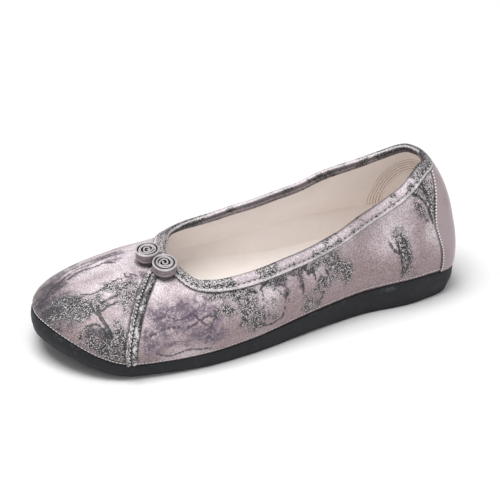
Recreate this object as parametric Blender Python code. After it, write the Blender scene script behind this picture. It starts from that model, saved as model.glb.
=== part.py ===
"""Cloth shoe for the left foot, in metres.

The heel is at +X, the toe at -X, the outer side of the foot at -Y and +Z is up.
The origin is on the floor, under the middle of the shoe.
A printed cloth upper with bound edges stands in the rim of a black rubber unit sole,
over a thin insole. A bound strip runs from the throat to the sole on the outer side,
and two coiled cord buttons sit where it starts.
"""
from collections import namedtuple
import math

import bmesh
import bpy
from mathutils import Quaternion, Vector
import numpy as np

# Driving sizes of the last
LENGTH = 0.245            # feather line, from the back of the heel to the tip of the toe
BALL_WIDTH = 0.086        # feather line across the ball of the foot
LAST_HEIGHT = 0.100       # floor to the ridge of the last, under the open collar
SOLE_HEIGHT = 0.0162      # thickest place of the sole, under the heel
TOE_SPRING = 0.0137       # floor to the tread under the tip of the toe
SIDE_BULGE = 0.0031       # how far the upper stands out over the feather line, at the side
HEEL_BULGE = 0.0002       # and at the back of the heel
BULGE_RISE = 0.028        # height over which it does so

# Clearance and walls
GAP = 0.0003
WALL = 0.0016
LIP_HEIGHT = 0.0015       # rim of the sole, which hides the foot of the upper
LIP_IN = 0.0005           # rim's inner face, inside the feather line
LIP_OUT = 0.0005          # rim's outer face, outside it
TREAD_CHAMFER = 0.0009
WAIST_LIFT = 0.0006       # tread's lift between heel and forefoot
INSOLE_THICKNESS = 0.0025
INSOLE_EDGE = 0.0008

# Binding, strip, heel piece and buttons
BINDING_WIDTH = 0.006
BINDING_INSIDE = 0.0036
BINDING_THICKNESS = 0.0006
BINDING_LIFT = 0.00045    # between the cloth and what is laid on it
STRIP_WIDTH = 0.0062
STRIP_THICKNESS = 0.0007
PIPING_HEIGHT = 0.0012
HEEL_PIECE_THICKNESS = 0.0007
BUTTON_DIAMETER = 0.0128
BUTTON_HEIGHT = 0.0058
BUTTON_RIBBON = 0.0018    # pitch of the rolled ribbon
RIBBON_GROOVE = 0.0007    # depth between its turns
RIBBON_EDGE = (0.22, 0.78)  # the ribbon's top edge, in shares of the pitch
BUTTON_EDGE = 0.0005      # chamfer under a button
BUTTON_STEM = 0.0050      # diameter of the shank that holds a button off the vamp
BUTTON_LIFT = BINDING_LIFT + max(BINDING_THICKNESS, PIPING_HEIGHT) + GAP

# Shape of the last: superellipse ribs that rise from the feather line to a spine
FULLNESS = 2.54
SPINE_BACK = 0.156
SPINE_FRONT = 0.791
SPINE_BLEND = 0.05
TUCK_RISE = 0.004
TOP_ANGLE = math.radians(89.99)

# Counts of facets
COLUMNS = 34
ROWS = 12
LADDER_STRIPS = 4
OUTLINE_SAMPLES = 40
BUTTON_SEGMENTS = 24
STRIP_STEPS = 18
HEEL_PIECE_ROWS = 12
HEEL_PIECE_COLUMNS = 7
MERGE = 0.00005           # points nearer than this are one
HEEL_REACH = 0.25         # turn that the heel piece stays within
FAN_REACH = 0.015         # ribs that end this near the toe end of the spine share its point

Outline = namedtuple("Outline", "at lateral medial")
OUTLINE = (               # half widths as shares of the ball width
    Outline(0.030, 0.253, 0.212),
    Outline(0.110, 0.323, 0.301),
    Outline(0.265, 0.327, 0.301),
    Outline(0.425, 0.402, 0.325),
    Outline(0.565, 0.474, 0.432),
    Outline(0.700, 0.503, 0.512),
    Outline(0.800, 0.483, 0.487),
    Outline(0.880, 0.437, 0.430),
    Outline(0.945, 0.320, 0.312),
    Outline(0.983, 0.178, 0.165),
)
TOE_TIP = 0.008           # the tip's side step, as a share of the ball width

Height = namedtuple("Height", "at share")
SOLE_THICKNESS = (        # shares of the sole's height
    Height(0.00, 0.87), Height(0.12, 1.00), Height(0.25, 0.925), Height(0.40, 0.80),
    Height(0.55, 0.61), Height(0.70, 0.505), Height(0.82, 0.44), Height(0.92, 0.49),
    Height(1.00, 0.65),
)
SPRING = (                # shares of the toe spring
    Height(0.00, 0.0), Height(0.66, 0.0), Height(0.77, 0.085), Height(0.88, 0.205),
    Height(1.00, 1.0),
)
WAIST = (                 # shares of the waist's lift
    Height(0.00, 0.0), Height(0.27, 0.0), Height(0.31, 0.0), Height(0.40, 1.0),
    Height(0.49, 0.0), Height(0.53, 0.0), Height(1.00, 0.0),
)
RIDGE = (                 # shares of the last's height
    Height(0.00, 1.04), Height(0.15, 0.845), Height(0.30, 1.00), Height(0.45, 0.817),
    Height(0.58, 0.593), Height(0.66, 0.467), Height(0.74, 0.436), Height(0.82, 0.399),
    Height(0.90, 0.278),
)
RIDGE_SIDE = (            # the ridge's side step, as shares of the ball width
    Height(0.00, 0.0), Height(0.15, 0.0), Height(0.30, -0.020), Height(0.45, -0.030),
    Height(0.58, -0.015), Height(0.70, 0.010), Height(0.80, 0.030), Height(1.00, 0.060),
)
TREAD_TAPER = (           # tread's step inwards from the feather line, in shares of the sole's height
    Height(0.00, 0.125), Height(0.10, 0.07), Height(0.30, 0.03), Height(0.60, 0.01),
    Height(0.90, 0.03), Height(1.00, 0.03),
)

Collar = namedtuple("Collar", "at lateral medial")
COLLAR = (                # angles up the ribs at which the upper ends, in degrees
    Collar(0.000, 66.0, 66.0), Collar(0.030, 66.5, 65.0), Collar(0.060, 65.5, 62.5),
    Collar(0.090, 62.5, 59.0), Collar(0.130, 56.5, 53.0), Collar(0.190, 45.5, 44.0),
    Collar(0.250, 35.5, 36.5), Collar(0.320, 29.5, 31.0), Collar(0.400, 30.0, 32.5),
    Collar(0.475, 34.0, 35.5), Collar(0.550, 41.0, 40.5), Collar(0.600, 47.5, 48.5),
    Collar(0.620, 51.0, 53.0), Collar(0.640, 55.0, 59.5), Collar(0.655, 58.5, 66.5),
    Collar(0.668, 61.5, 74.0), Collar(0.686, 69.0, 82.0), Collar(0.696, 79.0, 86.5),
    Collar(0.699, 84.5, 88.3), Collar(0.700, 89.99, 89.99),
)
THROAT_FROM = 0.60        # rows from here on have ribs of their own
THROAT = COLLAR[-1].at
FRONT_BINDING_OUTER = 0.668   # the two bindings meet here on the outer side
FRONT_BINDING_INNER = 0.655   # and here on the inner side

Route = namedtuple("Route", "at angle")
STRIP_ROUTE = (           # middle of the strip, on the outer side
    Route(0.733, 79.0), Route(0.755, 79.0), Route(0.777, 77.5), Route(0.803, 69.0),
    Route(0.826, 59.0), Route(0.840, 49.5), Route(0.8475, 41.0), Route(0.854, 28.5),
    Route(0.8565, 16.0), Route(0.855, 7.5), Route(0.853, 2.6),
)

Seam = namedtuple("Seam", "up at")
HEEL_SEAM = (             # front edge of the heel piece, going up from the sole to the collar
    Seam(0.00, 0.064), Seam(0.20, 0.070), Seam(0.38, 0.077), Seam(0.57, 0.075),
    Seam(0.78, 0.057), Seam(1.00, 0.033),
)

Button = namedtuple("Button", "name at angle turn on_strip")
BUTTONS = (
    Button("button_front", 0.757, 89.9, 200.0, False),
    Button("button_rear", 0.737, 77.4, 20.0, True),
)

Finish = namedtuple("Finish", "colour roughness metallic")
FINISHES = {
    "outsole": Finish((0.030, 0.031, 0.034, 1.0), 0.62, 0.0),
    "insole": Finish((0.83, 0.76, 0.66, 1.0), 0.85, 0.0),
    "upper": Finish((0.50, 0.41, 0.42, 1.0), 0.48, 0.0),
    "collar_binding": Finish((0.36, 0.30, 0.32, 1.0), 0.55, 0.0),
    "vamp_binding": Finish((0.42, 0.38, 0.39, 1.0), 0.55, 0.0),
    "vamp_strip": Finish((0.42, 0.38, 0.39, 1.0), 0.55, 0.0),
    "heel_piece": Finish((0.47, 0.38, 0.39, 1.0), 0.40, 0.0),
    "button": Finish((0.42, 0.34, 0.36, 1.0), 0.50, 0.0),
}


def hermite(part, span, start, start_slope, end, end_slope):
    """Cubic through two ends with their slopes; part runs from 0 to 1 over the span."""
    return ((1 + 2 * part) * (1 - part) ** 2 * start
            + part * (1 - part) ** 2 * span * start_slope
            + part * part * (3 - 2 * part) * end
            + part * part * (part - 1) * span * end_slope)


def column(rows, by, name, at):
    """Smooth value of a table's column, where its column `by` equals `at`."""
    places = np.array([getattr(row, by) for row in rows])
    values = np.array([getattr(row, name) for row in rows])
    slopes = np.gradient(values, places)
    at = np.asarray(at, float)
    i = np.clip(np.searchsorted(places, at) - 1, 0, len(places) - 2)
    span = places[i + 1] - places[i]
    part = np.clip((at - places[i]) / span, 0.0, 1.0)
    return hermite(part, span, values[i], slopes[i], values[i + 1], slopes[i + 1])


def closed_curve(points):
    """Dense smooth closed curve through a ring of points."""
    count = len(points)
    ring = np.vstack([points[-3:], points, points[:4]])
    run = np.r_[0, np.cumsum(np.linalg.norm(np.diff(ring, axis=0), axis=1))]
    slopes = np.gradient(ring, run, axis=0)
    part = np.linspace(0, 1, OUTLINE_SAMPLES + 1)[:-1, None]
    spans = []
    for i in range(3, 3 + count):
        span = run[i + 1] - run[i]
        spans.append(hermite(part, span, ring[i], slopes[i], ring[i + 1], slopes[i + 1]))
    return np.vstack(spans)


def feather_halves():
    """Outer and inner half of the feather line, each from heel to toe, and its outward normals."""
    lateral = [(0.5 - row.at, -row.lateral) for row in OUTLINE]
    medial = [(0.5 - row.at, row.medial) for row in OUTLINE]
    shares = [(0.5, 0.0)] + lateral + [(-0.5, TOE_TIP)] + medial[::-1]
    curve = closed_curve(np.array(shares) * (LENGTH, BALL_WIDTH))
    curve = np.roll(curve, -int(curve[:, 0].argmax()), axis=0)
    ahead = np.roll(curve, -1, axis=0) - np.roll(curve, 1, axis=0)
    ahead /= np.linalg.norm(ahead, axis=1, keepdims=True)
    outward = np.c_[-ahead[:, 1], ahead[:, 0]]
    toe = int(curve[:, 0].argmin())
    whole = np.hstack([curve, outward])
    return whole[:toe + 1], np.vstack([whole[toe:], whole[:1]])[::-1]


LATERAL_HALF, MEDIAL_HALF = feather_halves()
HEEL_X = LATERAL_HALF[0, 0]
TOE_X = LATERAL_HALF[-1, 0]


def wrapped(turn):
    """A place round the shoe: 0 at the heel, -1 and 1 at the toe, minus on the outer side."""
    return (np.asarray(turn, float) + 1.0) % 2.0 - 1.0


def share_of(turn):
    return (1 - np.cos(np.pi * np.abs(turn))) / 2


def turn_of(share):
    return np.arccos(1 - 2 * np.asarray(share, float)) / np.pi


def share_at(x):
    return np.clip((HEEL_X - np.asarray(x)) / (HEEL_X - TOE_X), 0.0, 1.0)


def feather(turn):
    """Feather line's x and y, and its outward normal's x and y."""
    turn = wrapped(turn)
    result = []
    for half in (LATERAL_HALF, MEDIAL_HALF):
        places = turn_of(share_at(half[:, 0]))
        result.append([np.interp(np.abs(turn), places, half[:, k]) for k in range(4)])
    x, y, out_x, out_y = np.where(turn < 0, np.array(result[0]), np.array(result[1]))
    return x, y, out_x, out_y


def tread_z(x):
    at = share_at(x)
    spring = TOE_SPRING * np.maximum(column(SPRING, "at", "share", at), 0.0)
    return spring + WAIST_LIFT * np.maximum(column(WAIST, "at", "share", at), 0.0)


def feather_z(x):
    at = share_at(x)
    spring = TOE_SPRING * np.maximum(column(SPRING, "at", "share", at), 0.0)
    return spring + SOLE_HEIGHT * column(SOLE_THICKNESS, "at", "share", at)


def seat_z(x):
    return feather_z(x) - LIP_HEIGHT


def insole_z(x):
    return seat_z(x) + GAP


def insole_top_z(x):
    return insole_z(x) + INSOLE_THICKNESS


def spine(share):
    """Where on the ridge the rib of a station ends: the ribs fan out at heel and toe."""
    front = SPINE_FRONT - SPINE_BLEND * np.logaddexp(0, (SPINE_FRONT - share) / SPINE_BLEND)
    return SPINE_BACK + SPINE_BLEND * np.logaddexp(0, (front - SPINE_BACK) / SPINE_BLEND)


def ridge_z(share):
    return LAST_HEIGHT * column(RIDGE, "at", "share", share)


def last(turn, angle):
    """Point of the last: turn goes round the feather line, angle up the rib to the ridge."""
    turn, angle = np.broadcast_arrays(wrapped(turn), np.asarray(angle, float))
    share = share_of(turn)
    x, y, out_x, out_y = feather(turn)
    foot_z = feather_z(x)
    on_spine = spine(share)
    top_x = HEEL_X + (TOE_X - HEEL_X) * on_spine
    top_y = BALL_WIDTH * column(RIDGE_SIDE, "at", "share", on_spine)
    top_z = ridge_z(on_spine)
    step = 0.001
    slope = (ridge_z(on_spine - step) - ridge_z(on_spine + step)) / (2 * step * LENGTH)
    droop = np.maximum(slope * (top_x - x), 0.0)
    inwards = np.cos(angle) ** (2 / FULLNESS)
    z = foot_z + (top_z - foot_z - droop) * np.sin(angle) + droop * (1 - inwards)
    to_x, to_y = x - top_x, y - top_y
    reach = np.hypot(to_x, to_y)
    bulge = SIDE_BULGE + (HEEL_BULGE - SIDE_BULGE) * np.clip(1 - share / 0.15, 0, 1)
    bulge = bulge * np.sin(np.pi * np.clip((z - foot_z) / BULGE_RISE, 0, 1))
    out = inwards * (1 + bulge / reach)
    tuck = (LIP_IN + GAP) * (1 - np.clip((z - foot_z) / TUCK_RISE, 0, 1)) ** 2
    return np.stack([top_x + to_x * out - tuck * out_x, top_y + to_y * out - tuck * out_y, z], -1)


def directions(turn, angle):
    """How the last's point moves with turn and with angle, and the outward normal there."""
    step = 0.002
    low, high = np.maximum(angle - step, 0.0), np.minimum(angle + step, TOP_ANGLE)
    round_way = (last(turn + step, angle) - last(turn - step, angle)) / (2 * step)
    up_way = (last(turn, high) - last(turn, low)) / (high - low)[..., None]
    normal = np.cross(round_way, up_way)
    normal /= np.linalg.norm(normal, axis=-1, keepdims=True)
    return round_way, up_way, normal


def slid(turn, angle, shift):
    """The place on the last that lies a short vector away, kept on the surface."""
    for part in range(2):
        round_way, up_way, _ = directions(turn, angle)
        a = (round_way * round_way).sum(-1)
        b = (round_way * up_way).sum(-1)
        c = (up_way * up_way).sum(-1)
        p = (round_way * shift / 2).sum(-1)
        q = (up_way * shift / 2).sum(-1)
        det = a * c - b * b
        turn = turn + (p * c - q * b) / det
        angle = np.clip(angle + (q * a - p * b) / det, 0.0, TOP_ANGLE)
    return turn, angle


def lifted(turn, angle, lift):
    return last(turn, angle) + directions(turn, angle)[2] * np.asarray(lift)[..., None]


def collar_angle(turn):
    """Angle at which the upper ends on the rib of a place round the shoe."""
    turn = wrapped(turn)
    share = np.minimum(share_of(turn), THROAT)
    lateral = column(COLLAR, "at", "lateral", share)
    medial = column(COLLAR, "at", "medial", share)
    return np.radians(np.where(turn < 0, lateral, medial))


def half_turns():
    """Places of the ribs from heel to toe, with one for each row of the throat."""
    throat = [float(turn_of(row.at)) for row in COLLAR if row.at >= THROAT_FROM]
    even = [i / COLUMNS for i in range(COLUMNS + 1)]
    apart = 0.4 / COLUMNS
    kept = [place for place in even if min(abs(place - t) for t in throat) > apart]
    return np.array(sorted(kept + throat))


HALF_TURNS = half_turns()
LAST_RIB = len(HALF_TURNS) - 1
TURNS = np.r_[-HALF_TURNS, HALF_TURNS[-2:0:-1]]     # heel, outer side, toe, inner side


def rim(offset, height):
    """Ring of points beside the feather line; height is a function of x, or of x and z."""
    x, y, out_x, out_y = feather(TURNS)
    x, y = x + out_x * offset, y + out_y * offset
    return np.stack([x, y, height(x)], -1)


def add_ring(mesh, points):
    return [mesh.verts.new(point) for point in points]


def bridge(mesh, first, second, closed=True):
    count = len(first) if closed else len(first) - 1
    for i in range(count):
        j = (i + 1) % len(first)
        mesh.faces.new((first[i], second[i], second[j], first[j]))


def ladder(mesh, ring, height):
    """Cover a ring that goes round the shoe, with rungs from its outer to its inner side."""
    rows = [[ring[0]]]
    for i in range(1, LAST_RIB):
        start, end = ring[i].co, ring[len(ring) - i].co
        rung = [ring[i]]
        for k in range(1, LADDER_STRIPS):
            point = start.lerp(end, k / LADDER_STRIPS)
            rung.append(mesh.verts.new((point.x, point.y, float(height(point.x)))))
        rows.append(rung + [ring[len(ring) - i]])
    rows.append([ring[LAST_RIB]])
    for row, following in zip(rows, rows[1:]):
        for k in range(LADDER_STRIPS):
            corners = [row[min(k, len(row) - 1)], row[min(k + 1, len(row) - 1)],
                       following[min(k + 1, len(following) - 1)], following[min(k, len(following) - 1)]]
            mesh.faces.new(list(dict.fromkeys(corners)))


def material(name):
    finish = FINISHES[name]
    made = bpy.data.materials.get(name)
    if made is None:
        made = bpy.data.materials.new(name)
        made.use_nodes = True
        shader = made.node_tree.nodes["Principled BSDF"]
        shader.inputs["Base Color"].default_value = finish.colour
        shader.inputs["Roughness"].default_value = finish.roughness
        shader.inputs["Metallic"].default_value = finish.metallic
        made.diffuse_color = finish.colour
    return made


def finish_piece(mesh, name, finish=None, sharp=35.0):
    """Turn a bmesh into the named object, smooth but for its sharp edges."""
    bmesh.ops.recalc_face_normals(mesh, faces=mesh.faces)
    data = bpy.data.meshes.new(name)
    mesh.to_mesh(data)
    mesh.free()
    data.materials.append(material(finish or name))
    data.shade_smooth()
    data.set_sharp_from_angle(angle=math.radians(sharp))
    made = bpy.data.objects.new(name, data)
    bpy.context.collection.objects.link(made)
    return made


def make_outsole():
    """Rubber unit sole: rim, tapered side, chamfer and tread, closed by the seat of the upper."""
    at = share_of(TURNS)
    taper = SOLE_HEIGHT * column(TREAD_TAPER, "at", "share", at)

    def side(up, share_of_taper, out):
        def height(x):
            return tread_z(x) + (feather_z(x) - tread_z(x)) * up
        return rim(out - taper * share_of_taper, height)

    rings = [
        rim(-LIP_IN, seat_z),
        rim(-LIP_IN, lambda x: feather_z(x) - 0.1 * LIP_HEIGHT),
        rim(0.2 * LIP_OUT, feather_z),
        rim(LIP_OUT, lambda x: feather_z(x) - 0.3 * LIP_HEIGHT),
        side(0.72, 0.10, 1.4 * LIP_OUT),
        side(0.40, 0.50, 1.2 * LIP_OUT),
        rim(-taper, lambda x: tread_z(x) + TREAD_CHAMFER),
        rim(-taper - TREAD_CHAMFER, tread_z),
    ]
    mesh = bmesh.new()
    loops = [add_ring(mesh, ring) for ring in rings]
    for upper_loop, lower_loop in zip(loops, loops[1:]):
        bridge(mesh, upper_loop, lower_loop)
    ladder(mesh, loops[0], seat_z)
    ladder(mesh, loops[-1], tread_z)
    return finish_piece(mesh, "outsole")


def make_insole():
    """Thin cushioned insole on the seat, inside the foot of the upper."""
    out = -(LIP_IN + GAP + WALL + GAP) - 0.00005
    mesh = bmesh.new()
    loops = [
        add_ring(mesh, rim(out, insole_z)),
        add_ring(mesh, rim(out, lambda x: insole_top_z(x) - INSOLE_EDGE)),
        add_ring(mesh, rim(out - INSOLE_EDGE, insole_top_z)),
    ]
    bridge(mesh, loops[0], loops[1])
    bridge(mesh, loops[1], loops[2])
    ladder(mesh, loops[0], insole_z)
    ladder(mesh, loops[2], insole_top_z)
    return finish_piece(mesh, "insole")


def make_upper():
    """Hollow cloth upper: ribs from its foot on the seat to the collar, or over the vamp's ridge."""
    top = np.where(share_of(TURNS) < THROAT - 1e-6, collar_angle(TURNS), TOP_ANGLE)
    foot = last(TURNS, 0.0)
    foot[:, 2] = seat_z(foot[:, 0]) + GAP
    mesh = bmesh.new()
    loops = [add_ring(mesh, foot)]
    for k in range(ROWS + 1):
        loops.append(add_ring(mesh, last(TURNS, top * k / ROWS)))
    for lower_loop, upper_loop in zip(loops, loops[1:]):
        bridge(mesh, lower_loop, upper_loop)
    throat_x = last(float(turn_of(THROAT)), TOP_ANGLE)[0]
    crest = [v for v in loops[-1] if v.co.x < throat_x + MERGE]
    bmesh.ops.remove_doubles(mesh, verts=crest, dist=MERGE)
    fan_end = Vector(last(1.0, TOP_ANGLE))
    fan = [v for v in crest if v.is_valid and (v.co - fan_end).length < FAN_REACH * LENGTH]
    bmesh.ops.pointmerge(mesh, verts=fan, merge_co=fan_end)
    made = finish_piece(mesh, "upper", sharp=60.0)
    wall = made.modifiers.new("wall", "SOLIDIFY")
    wall.thickness = WALL
    wall.offset = -1.0
    wall.use_rim = True
    return made


def edge_run(start, end):
    """Ribs along the collar between two places, each end drawn back by half a gap."""
    ribs = HALF_TURNS[HALF_TURNS <= turn_of(THROAT) + 1e-9]
    loop = np.r_[-ribs[::-1], ribs[1:]]
    if start > end:
        loop = np.r_[ribs, -ribs[:-1][::-1]]
        kept = loop[((loop > 0) & (loop > start + 1e-6)) | ((loop < 0) & (loop < end - 1e-6))]
    else:
        kept = loop[(loop > start + 1e-6) & (loop < end - 1e-6)]
    speed = np.linalg.norm(edge_tangent(np.array([start, end])), axis=1)
    return np.r_[start + 0.5 * GAP / speed[0], kept, end - 0.5 * GAP / speed[1]]


def edge_tangent(turns, step=1e-3):
    """How the collar's edge moves with the place round the shoe."""
    after, before = turns + step, turns - step
    return (last(after, collar_angle(after)) - last(before, collar_angle(before))) / (2 * step)


def bound_edge(name, turns):
    """Tape folded over the collar's edge: a band outside, a band inside and the fold between."""
    angles = collar_angle(turns)
    points = last(turns, angles)
    normal = directions(turns, angles)[2]
    ahead = np.gradient(points, axis=0)
    ahead[[0, -1]] = edge_tangent(turns[[0, -1]])
    ahead /= np.linalg.norm(ahead, axis=1, keepdims=True)
    down = np.cross(ahead, normal)
    down /= np.linalg.norm(down, axis=1, keepdims=True)
    near, far = BINDING_LIFT, BINDING_LIFT + BINDING_THICKNESS
    inner_near, inner_far = -WALL - near, -WALL - far
    section = [
        (BINDING_WIDTH, near), (0.5 * BINDING_WIDTH, near), (0.0, near), (-near, -0.5 * WALL),
        (0.0, inner_near), (BINDING_INSIDE, inner_near), (BINDING_INSIDE, inner_far),
        (0.0, inner_far), (-far, -WALL), (-far - 0.3 * near, -0.5 * WALL), (-far, 0.0),
        (0.0, far), (0.7 * BINDING_WIDTH, far), (BINDING_WIDTH, far - 0.3 * BINDING_THICKNESS),
    ]
    mesh = bmesh.new()
    rows = []
    for below, lift in section:
        if below > 0:
            place = slid(turns, angles, down * below)
            rows.append(lifted(*place, np.full(len(turns), lift)))
        else:
            rows.append(points + down * below + normal * lift)
    rings = [add_ring(mesh, ring) for ring in np.array(rows).transpose(1, 0, 2)]
    for first, second in zip(rings, rings[1:]):
        bridge(mesh, first, second)
    mesh.faces.new(rings[0])
    mesh.faces.new(rings[-1])
    return finish_piece(mesh, name, sharp=50.0)


def make_bindings():
    """Collar's tape round the heel, and the vamp's tape across the throat."""
    outer = -float(turn_of(FRONT_BINDING_OUTER))
    inner = float(turn_of(FRONT_BINDING_INNER))
    bound_edge("collar_binding", edge_run(outer, inner))
    bound_edge("vamp_binding", edge_run(inner, outer))


def through(values, steps):
    """Even steps on a smooth curve through a list of values."""
    values = np.array(values, float)
    at = np.linspace(0, len(values) - 1, steps)
    i = np.clip(at.astype(int), 0, len(values) - 2)
    slopes = np.gradient(values)
    return hermite(at - i, 1.0, values[i], slopes[i], values[i + 1], slopes[i + 1])


def make_vamp_strip():
    """Bound strip from the throat to the sole, with a piped edge on its toe side."""
    turns = -turn_of(through([place.at for place in STRIP_ROUTE], STRIP_STEPS))
    angles = np.radians(through([place.angle for place in STRIP_ROUTE], STRIP_STEPS))
    points = last(turns, angles)
    normal = directions(turns, angles)[2]
    ahead = np.gradient(points, axis=0)
    ahead /= np.linalg.norm(ahead, axis=1, keepdims=True)
    heelwards = np.cross(normal, ahead)
    half, piping = STRIP_WIDTH / 2, PIPING_HEIGHT
    base, top = BINDING_LIFT, BINDING_LIFT + STRIP_THICKNESS
    section = [
        (-half, base), (0.0, base), (half, base), (half, base + 0.4 * STRIP_THICKNESS),
        (half - STRIP_THICKNESS, top), (0.3 * piping, top), (2.0 * piping - half, top),
        (1.5 * piping - half, base + piping), (0.5 * piping - half, base + piping),
        (-half, base + 0.5 * piping),
    ]
    mesh = bmesh.new()
    rows = []
    for across, lift in section:
        place = slid(turns, angles, heelwards * across)
        rows.append(lifted(*place, np.full(STRIP_STEPS, lift)))
    rings = [add_ring(mesh, ring) for ring in np.array(rows).transpose(1, 0, 2)]
    for first, second in zip(rings, rings[1:]):
        bridge(mesh, first, second)
    mesh.faces.new(rings[0])
    mesh.faces.new(rings[-1])
    return finish_piece(mesh, "vamp_strip", sharp=50.0)


def binding_foot(turns):
    """Angle just under the outer band of the collar's tape, on ribs near the heel."""
    near = np.linspace(-HEEL_REACH, HEEL_REACH, OUTLINE_SAMPLES + 1)
    edge = collar_angle(near)
    ahead = edge_tangent(near)
    ahead /= np.linalg.norm(ahead, axis=1, keepdims=True)
    down = np.cross(ahead, directions(near, edge)[2])
    places, angles = slid(near, edge, down * (BINDING_WIDTH + 3 * GAP))
    return np.interp(turns, places, angles)


def make_heel_piece():
    """Cover of the heel's back, from the sole's rim to the collar's binding."""
    ups = np.linspace(0, 1, HEEL_PIECE_ROWS)
    sides = np.linspace(-1, 1, 2 * HEEL_PIECE_COLUMNS + 1)
    seams = turn_of(column(HEEL_SEAM, "up", "at", ups))
    mesh = bmesh.new()
    rows = []
    for up, seam in zip(ups, seams):
        turns = sides * seam
        low = np.full(len(turns), 2 * GAP / LAST_HEIGHT)
        angles = low + (binding_foot(turns) - low) * up
        rows.append(add_ring(mesh, lifted(turns, angles, np.full(len(turns), BINDING_LIFT))))
    for lower_row, upper_row in zip(rows, rows[1:]):
        bridge(mesh, upper_row, lower_row, closed=False)
    made = finish_piece(mesh, "heel_piece", sharp=60.0)
    wall = made.modifiers.new("wall", "SOLIDIFY")
    wall.thickness = HEEL_PIECE_THICKNESS
    wall.offset = 1.0
    wall.use_rim = True
    return made


def make_button(button):
    """Round button of one ribbon rolled from the middle out, standing on edge."""
    radius, pitch, per_turn = BUTTON_DIAMETER / 2, BUTTON_RIBBON, BUTTON_SEGMENTS
    mesh = bmesh.new()

    def on_roll(step, radial, height):
        angle = 2 * math.pi * step / per_turn
        return mesh.verts.new((radial * math.cos(angle), radial * math.sin(angle), height))

    def rings_below(ring, levels):
        for share, height in levels:
            lower = add_ring(mesh, [(v.co.x * share, v.co.y * share, height) for v in rim_verts])
            bridge(mesh, ring, lower)
            ring = lower
        return ring

    end = math.ceil(per_turn * radius / pitch)
    radii = [min(pitch * step / per_turn, radius) for step in range(end + per_turn + 1)]
    floor = BUTTON_HEIGHT - RIBBON_GROOVE
    groove = [on_roll(step, radial, floor) for step, radial in enumerate(radii)]
    edge = []
    for step in range(end + 1):
        inner, outer = radii[step], radii[step + per_turn]
        top = floor + RIBBON_GROOVE * (outer - inner) / pitch
        edge.append([on_roll(step, inner + share * (outer - inner), top) for share in RIBBON_EDGE])
    for step in range(end):
        lines = [[groove[k]] + edge[k] + [groove[k + per_turn]] for k in (step, step + 1)]
        bridge(mesh, lines[0], lines[1], closed=False)
    for step in range(1, per_turn):
        mesh.faces.new((groove[0], groove[step], groove[step + 1]))
    mesh.faces.new((groove[0], *edge[0], groove[per_turn]))
    rim_verts = groove[end:end + per_turn]
    ring = rings_below(rim_verts, [(1.0, BUTTON_EDGE), (1 - BUTTON_EDGE / radius, 0.0)])
    if not button.on_strip:
        stem = BUTTON_STEM / BUTTON_DIAMETER
        ring = rings_below(ring, [(stem, 0.0), (stem, BINDING_LIFT - BUTTON_LIFT)])
    mesh.faces.new(ring)
    bmesh.ops.remove_doubles(mesh, verts=mesh.verts, dist=MERGE)
    made = finish_piece(mesh, button.name, finish="button", sharp=50.0)
    turn, angle = np.array([-float(turn_of(button.at))]), np.radians([button.angle])
    point = lifted(turn, angle, np.array([BUTTON_LIFT]))[0]
    up = Vector(directions(turn, angle)[2][0])
    made.rotation_mode = "QUATERNION"
    made.rotation_quaternion = (up.to_track_quat("Z", "Y")
                                @ Quaternion((0, 0, 1), math.radians(button.turn)))
    made.location = point
    return made


def stand_on_floor():
    """Move the whole shoe so that its box stands on the origin."""
    bpy.context.view_layer.update()
    graph = bpy.context.evaluated_depsgraph_get()
    corners = []
    for piece in bpy.data.objects:
        shape = piece.evaluated_get(graph)
        corners += [shape.matrix_world @ v.co for v in shape.data.vertices]
    corners = np.array(corners)
    low, high = corners.min(axis=0), corners.max(axis=0)
    shift = Vector((-(low[0] + high[0]) / 2, -(low[1] + high[1]) / 2, -low[2]))
    for piece in bpy.data.objects:
        piece.location += shift


def main():
    for old in list(bpy.data.objects):
        bpy.data.objects.remove(old, do_unlink=True)
    make_outsole()
    make_insole()
    make_upper()
    make_bindings()
    make_vamp_strip()
    make_heel_piece()
    for button in BUTTONS:
        make_button(button)
    stand_on_floor()


main()
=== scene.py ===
"""Looks of a cloth shoe for the left foot.

The file is laid out as a Blender add-on and is run as a script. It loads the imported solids
as a fixed frame and makes the cloth, tapes, threads, lining, buttons and rubber round them.
Lengths are in metres. The heel is at +X, the outer side of the foot at -Y.
"""
from collections import namedtuple
import math

import bmesh
import bpy
from mathutils import Matrix, Vector
import numpy as np


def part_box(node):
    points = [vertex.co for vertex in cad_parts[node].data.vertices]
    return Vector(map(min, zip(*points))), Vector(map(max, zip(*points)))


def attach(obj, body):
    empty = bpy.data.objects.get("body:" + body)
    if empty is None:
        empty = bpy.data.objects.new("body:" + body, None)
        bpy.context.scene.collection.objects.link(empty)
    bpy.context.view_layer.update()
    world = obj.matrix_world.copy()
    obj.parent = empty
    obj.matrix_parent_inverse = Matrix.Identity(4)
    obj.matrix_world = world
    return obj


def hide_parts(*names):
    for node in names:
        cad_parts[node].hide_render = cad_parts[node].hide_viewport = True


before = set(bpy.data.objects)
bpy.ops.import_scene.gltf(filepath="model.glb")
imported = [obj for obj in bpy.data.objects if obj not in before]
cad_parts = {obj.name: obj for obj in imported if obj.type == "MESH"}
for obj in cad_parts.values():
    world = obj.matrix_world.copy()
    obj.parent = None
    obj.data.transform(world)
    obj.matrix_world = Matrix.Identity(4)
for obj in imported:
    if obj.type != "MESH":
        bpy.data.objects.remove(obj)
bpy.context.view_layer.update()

bl_info = {
    "name": "Cloth Shoe Looks",
    "version": (1, 0, 0),
    "blender": (4, 5, 0),
    "location": "View3D > Sidebar > Cloth Shoe",
    "description": "Dresses the solids of a left cloth shoe",
    "category": "Object",
}


def table(columns, *rows):
    """Rows of a table with named columns."""
    row = namedtuple("row", columns)
    return tuple(row(*values) for values in rows)


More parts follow.
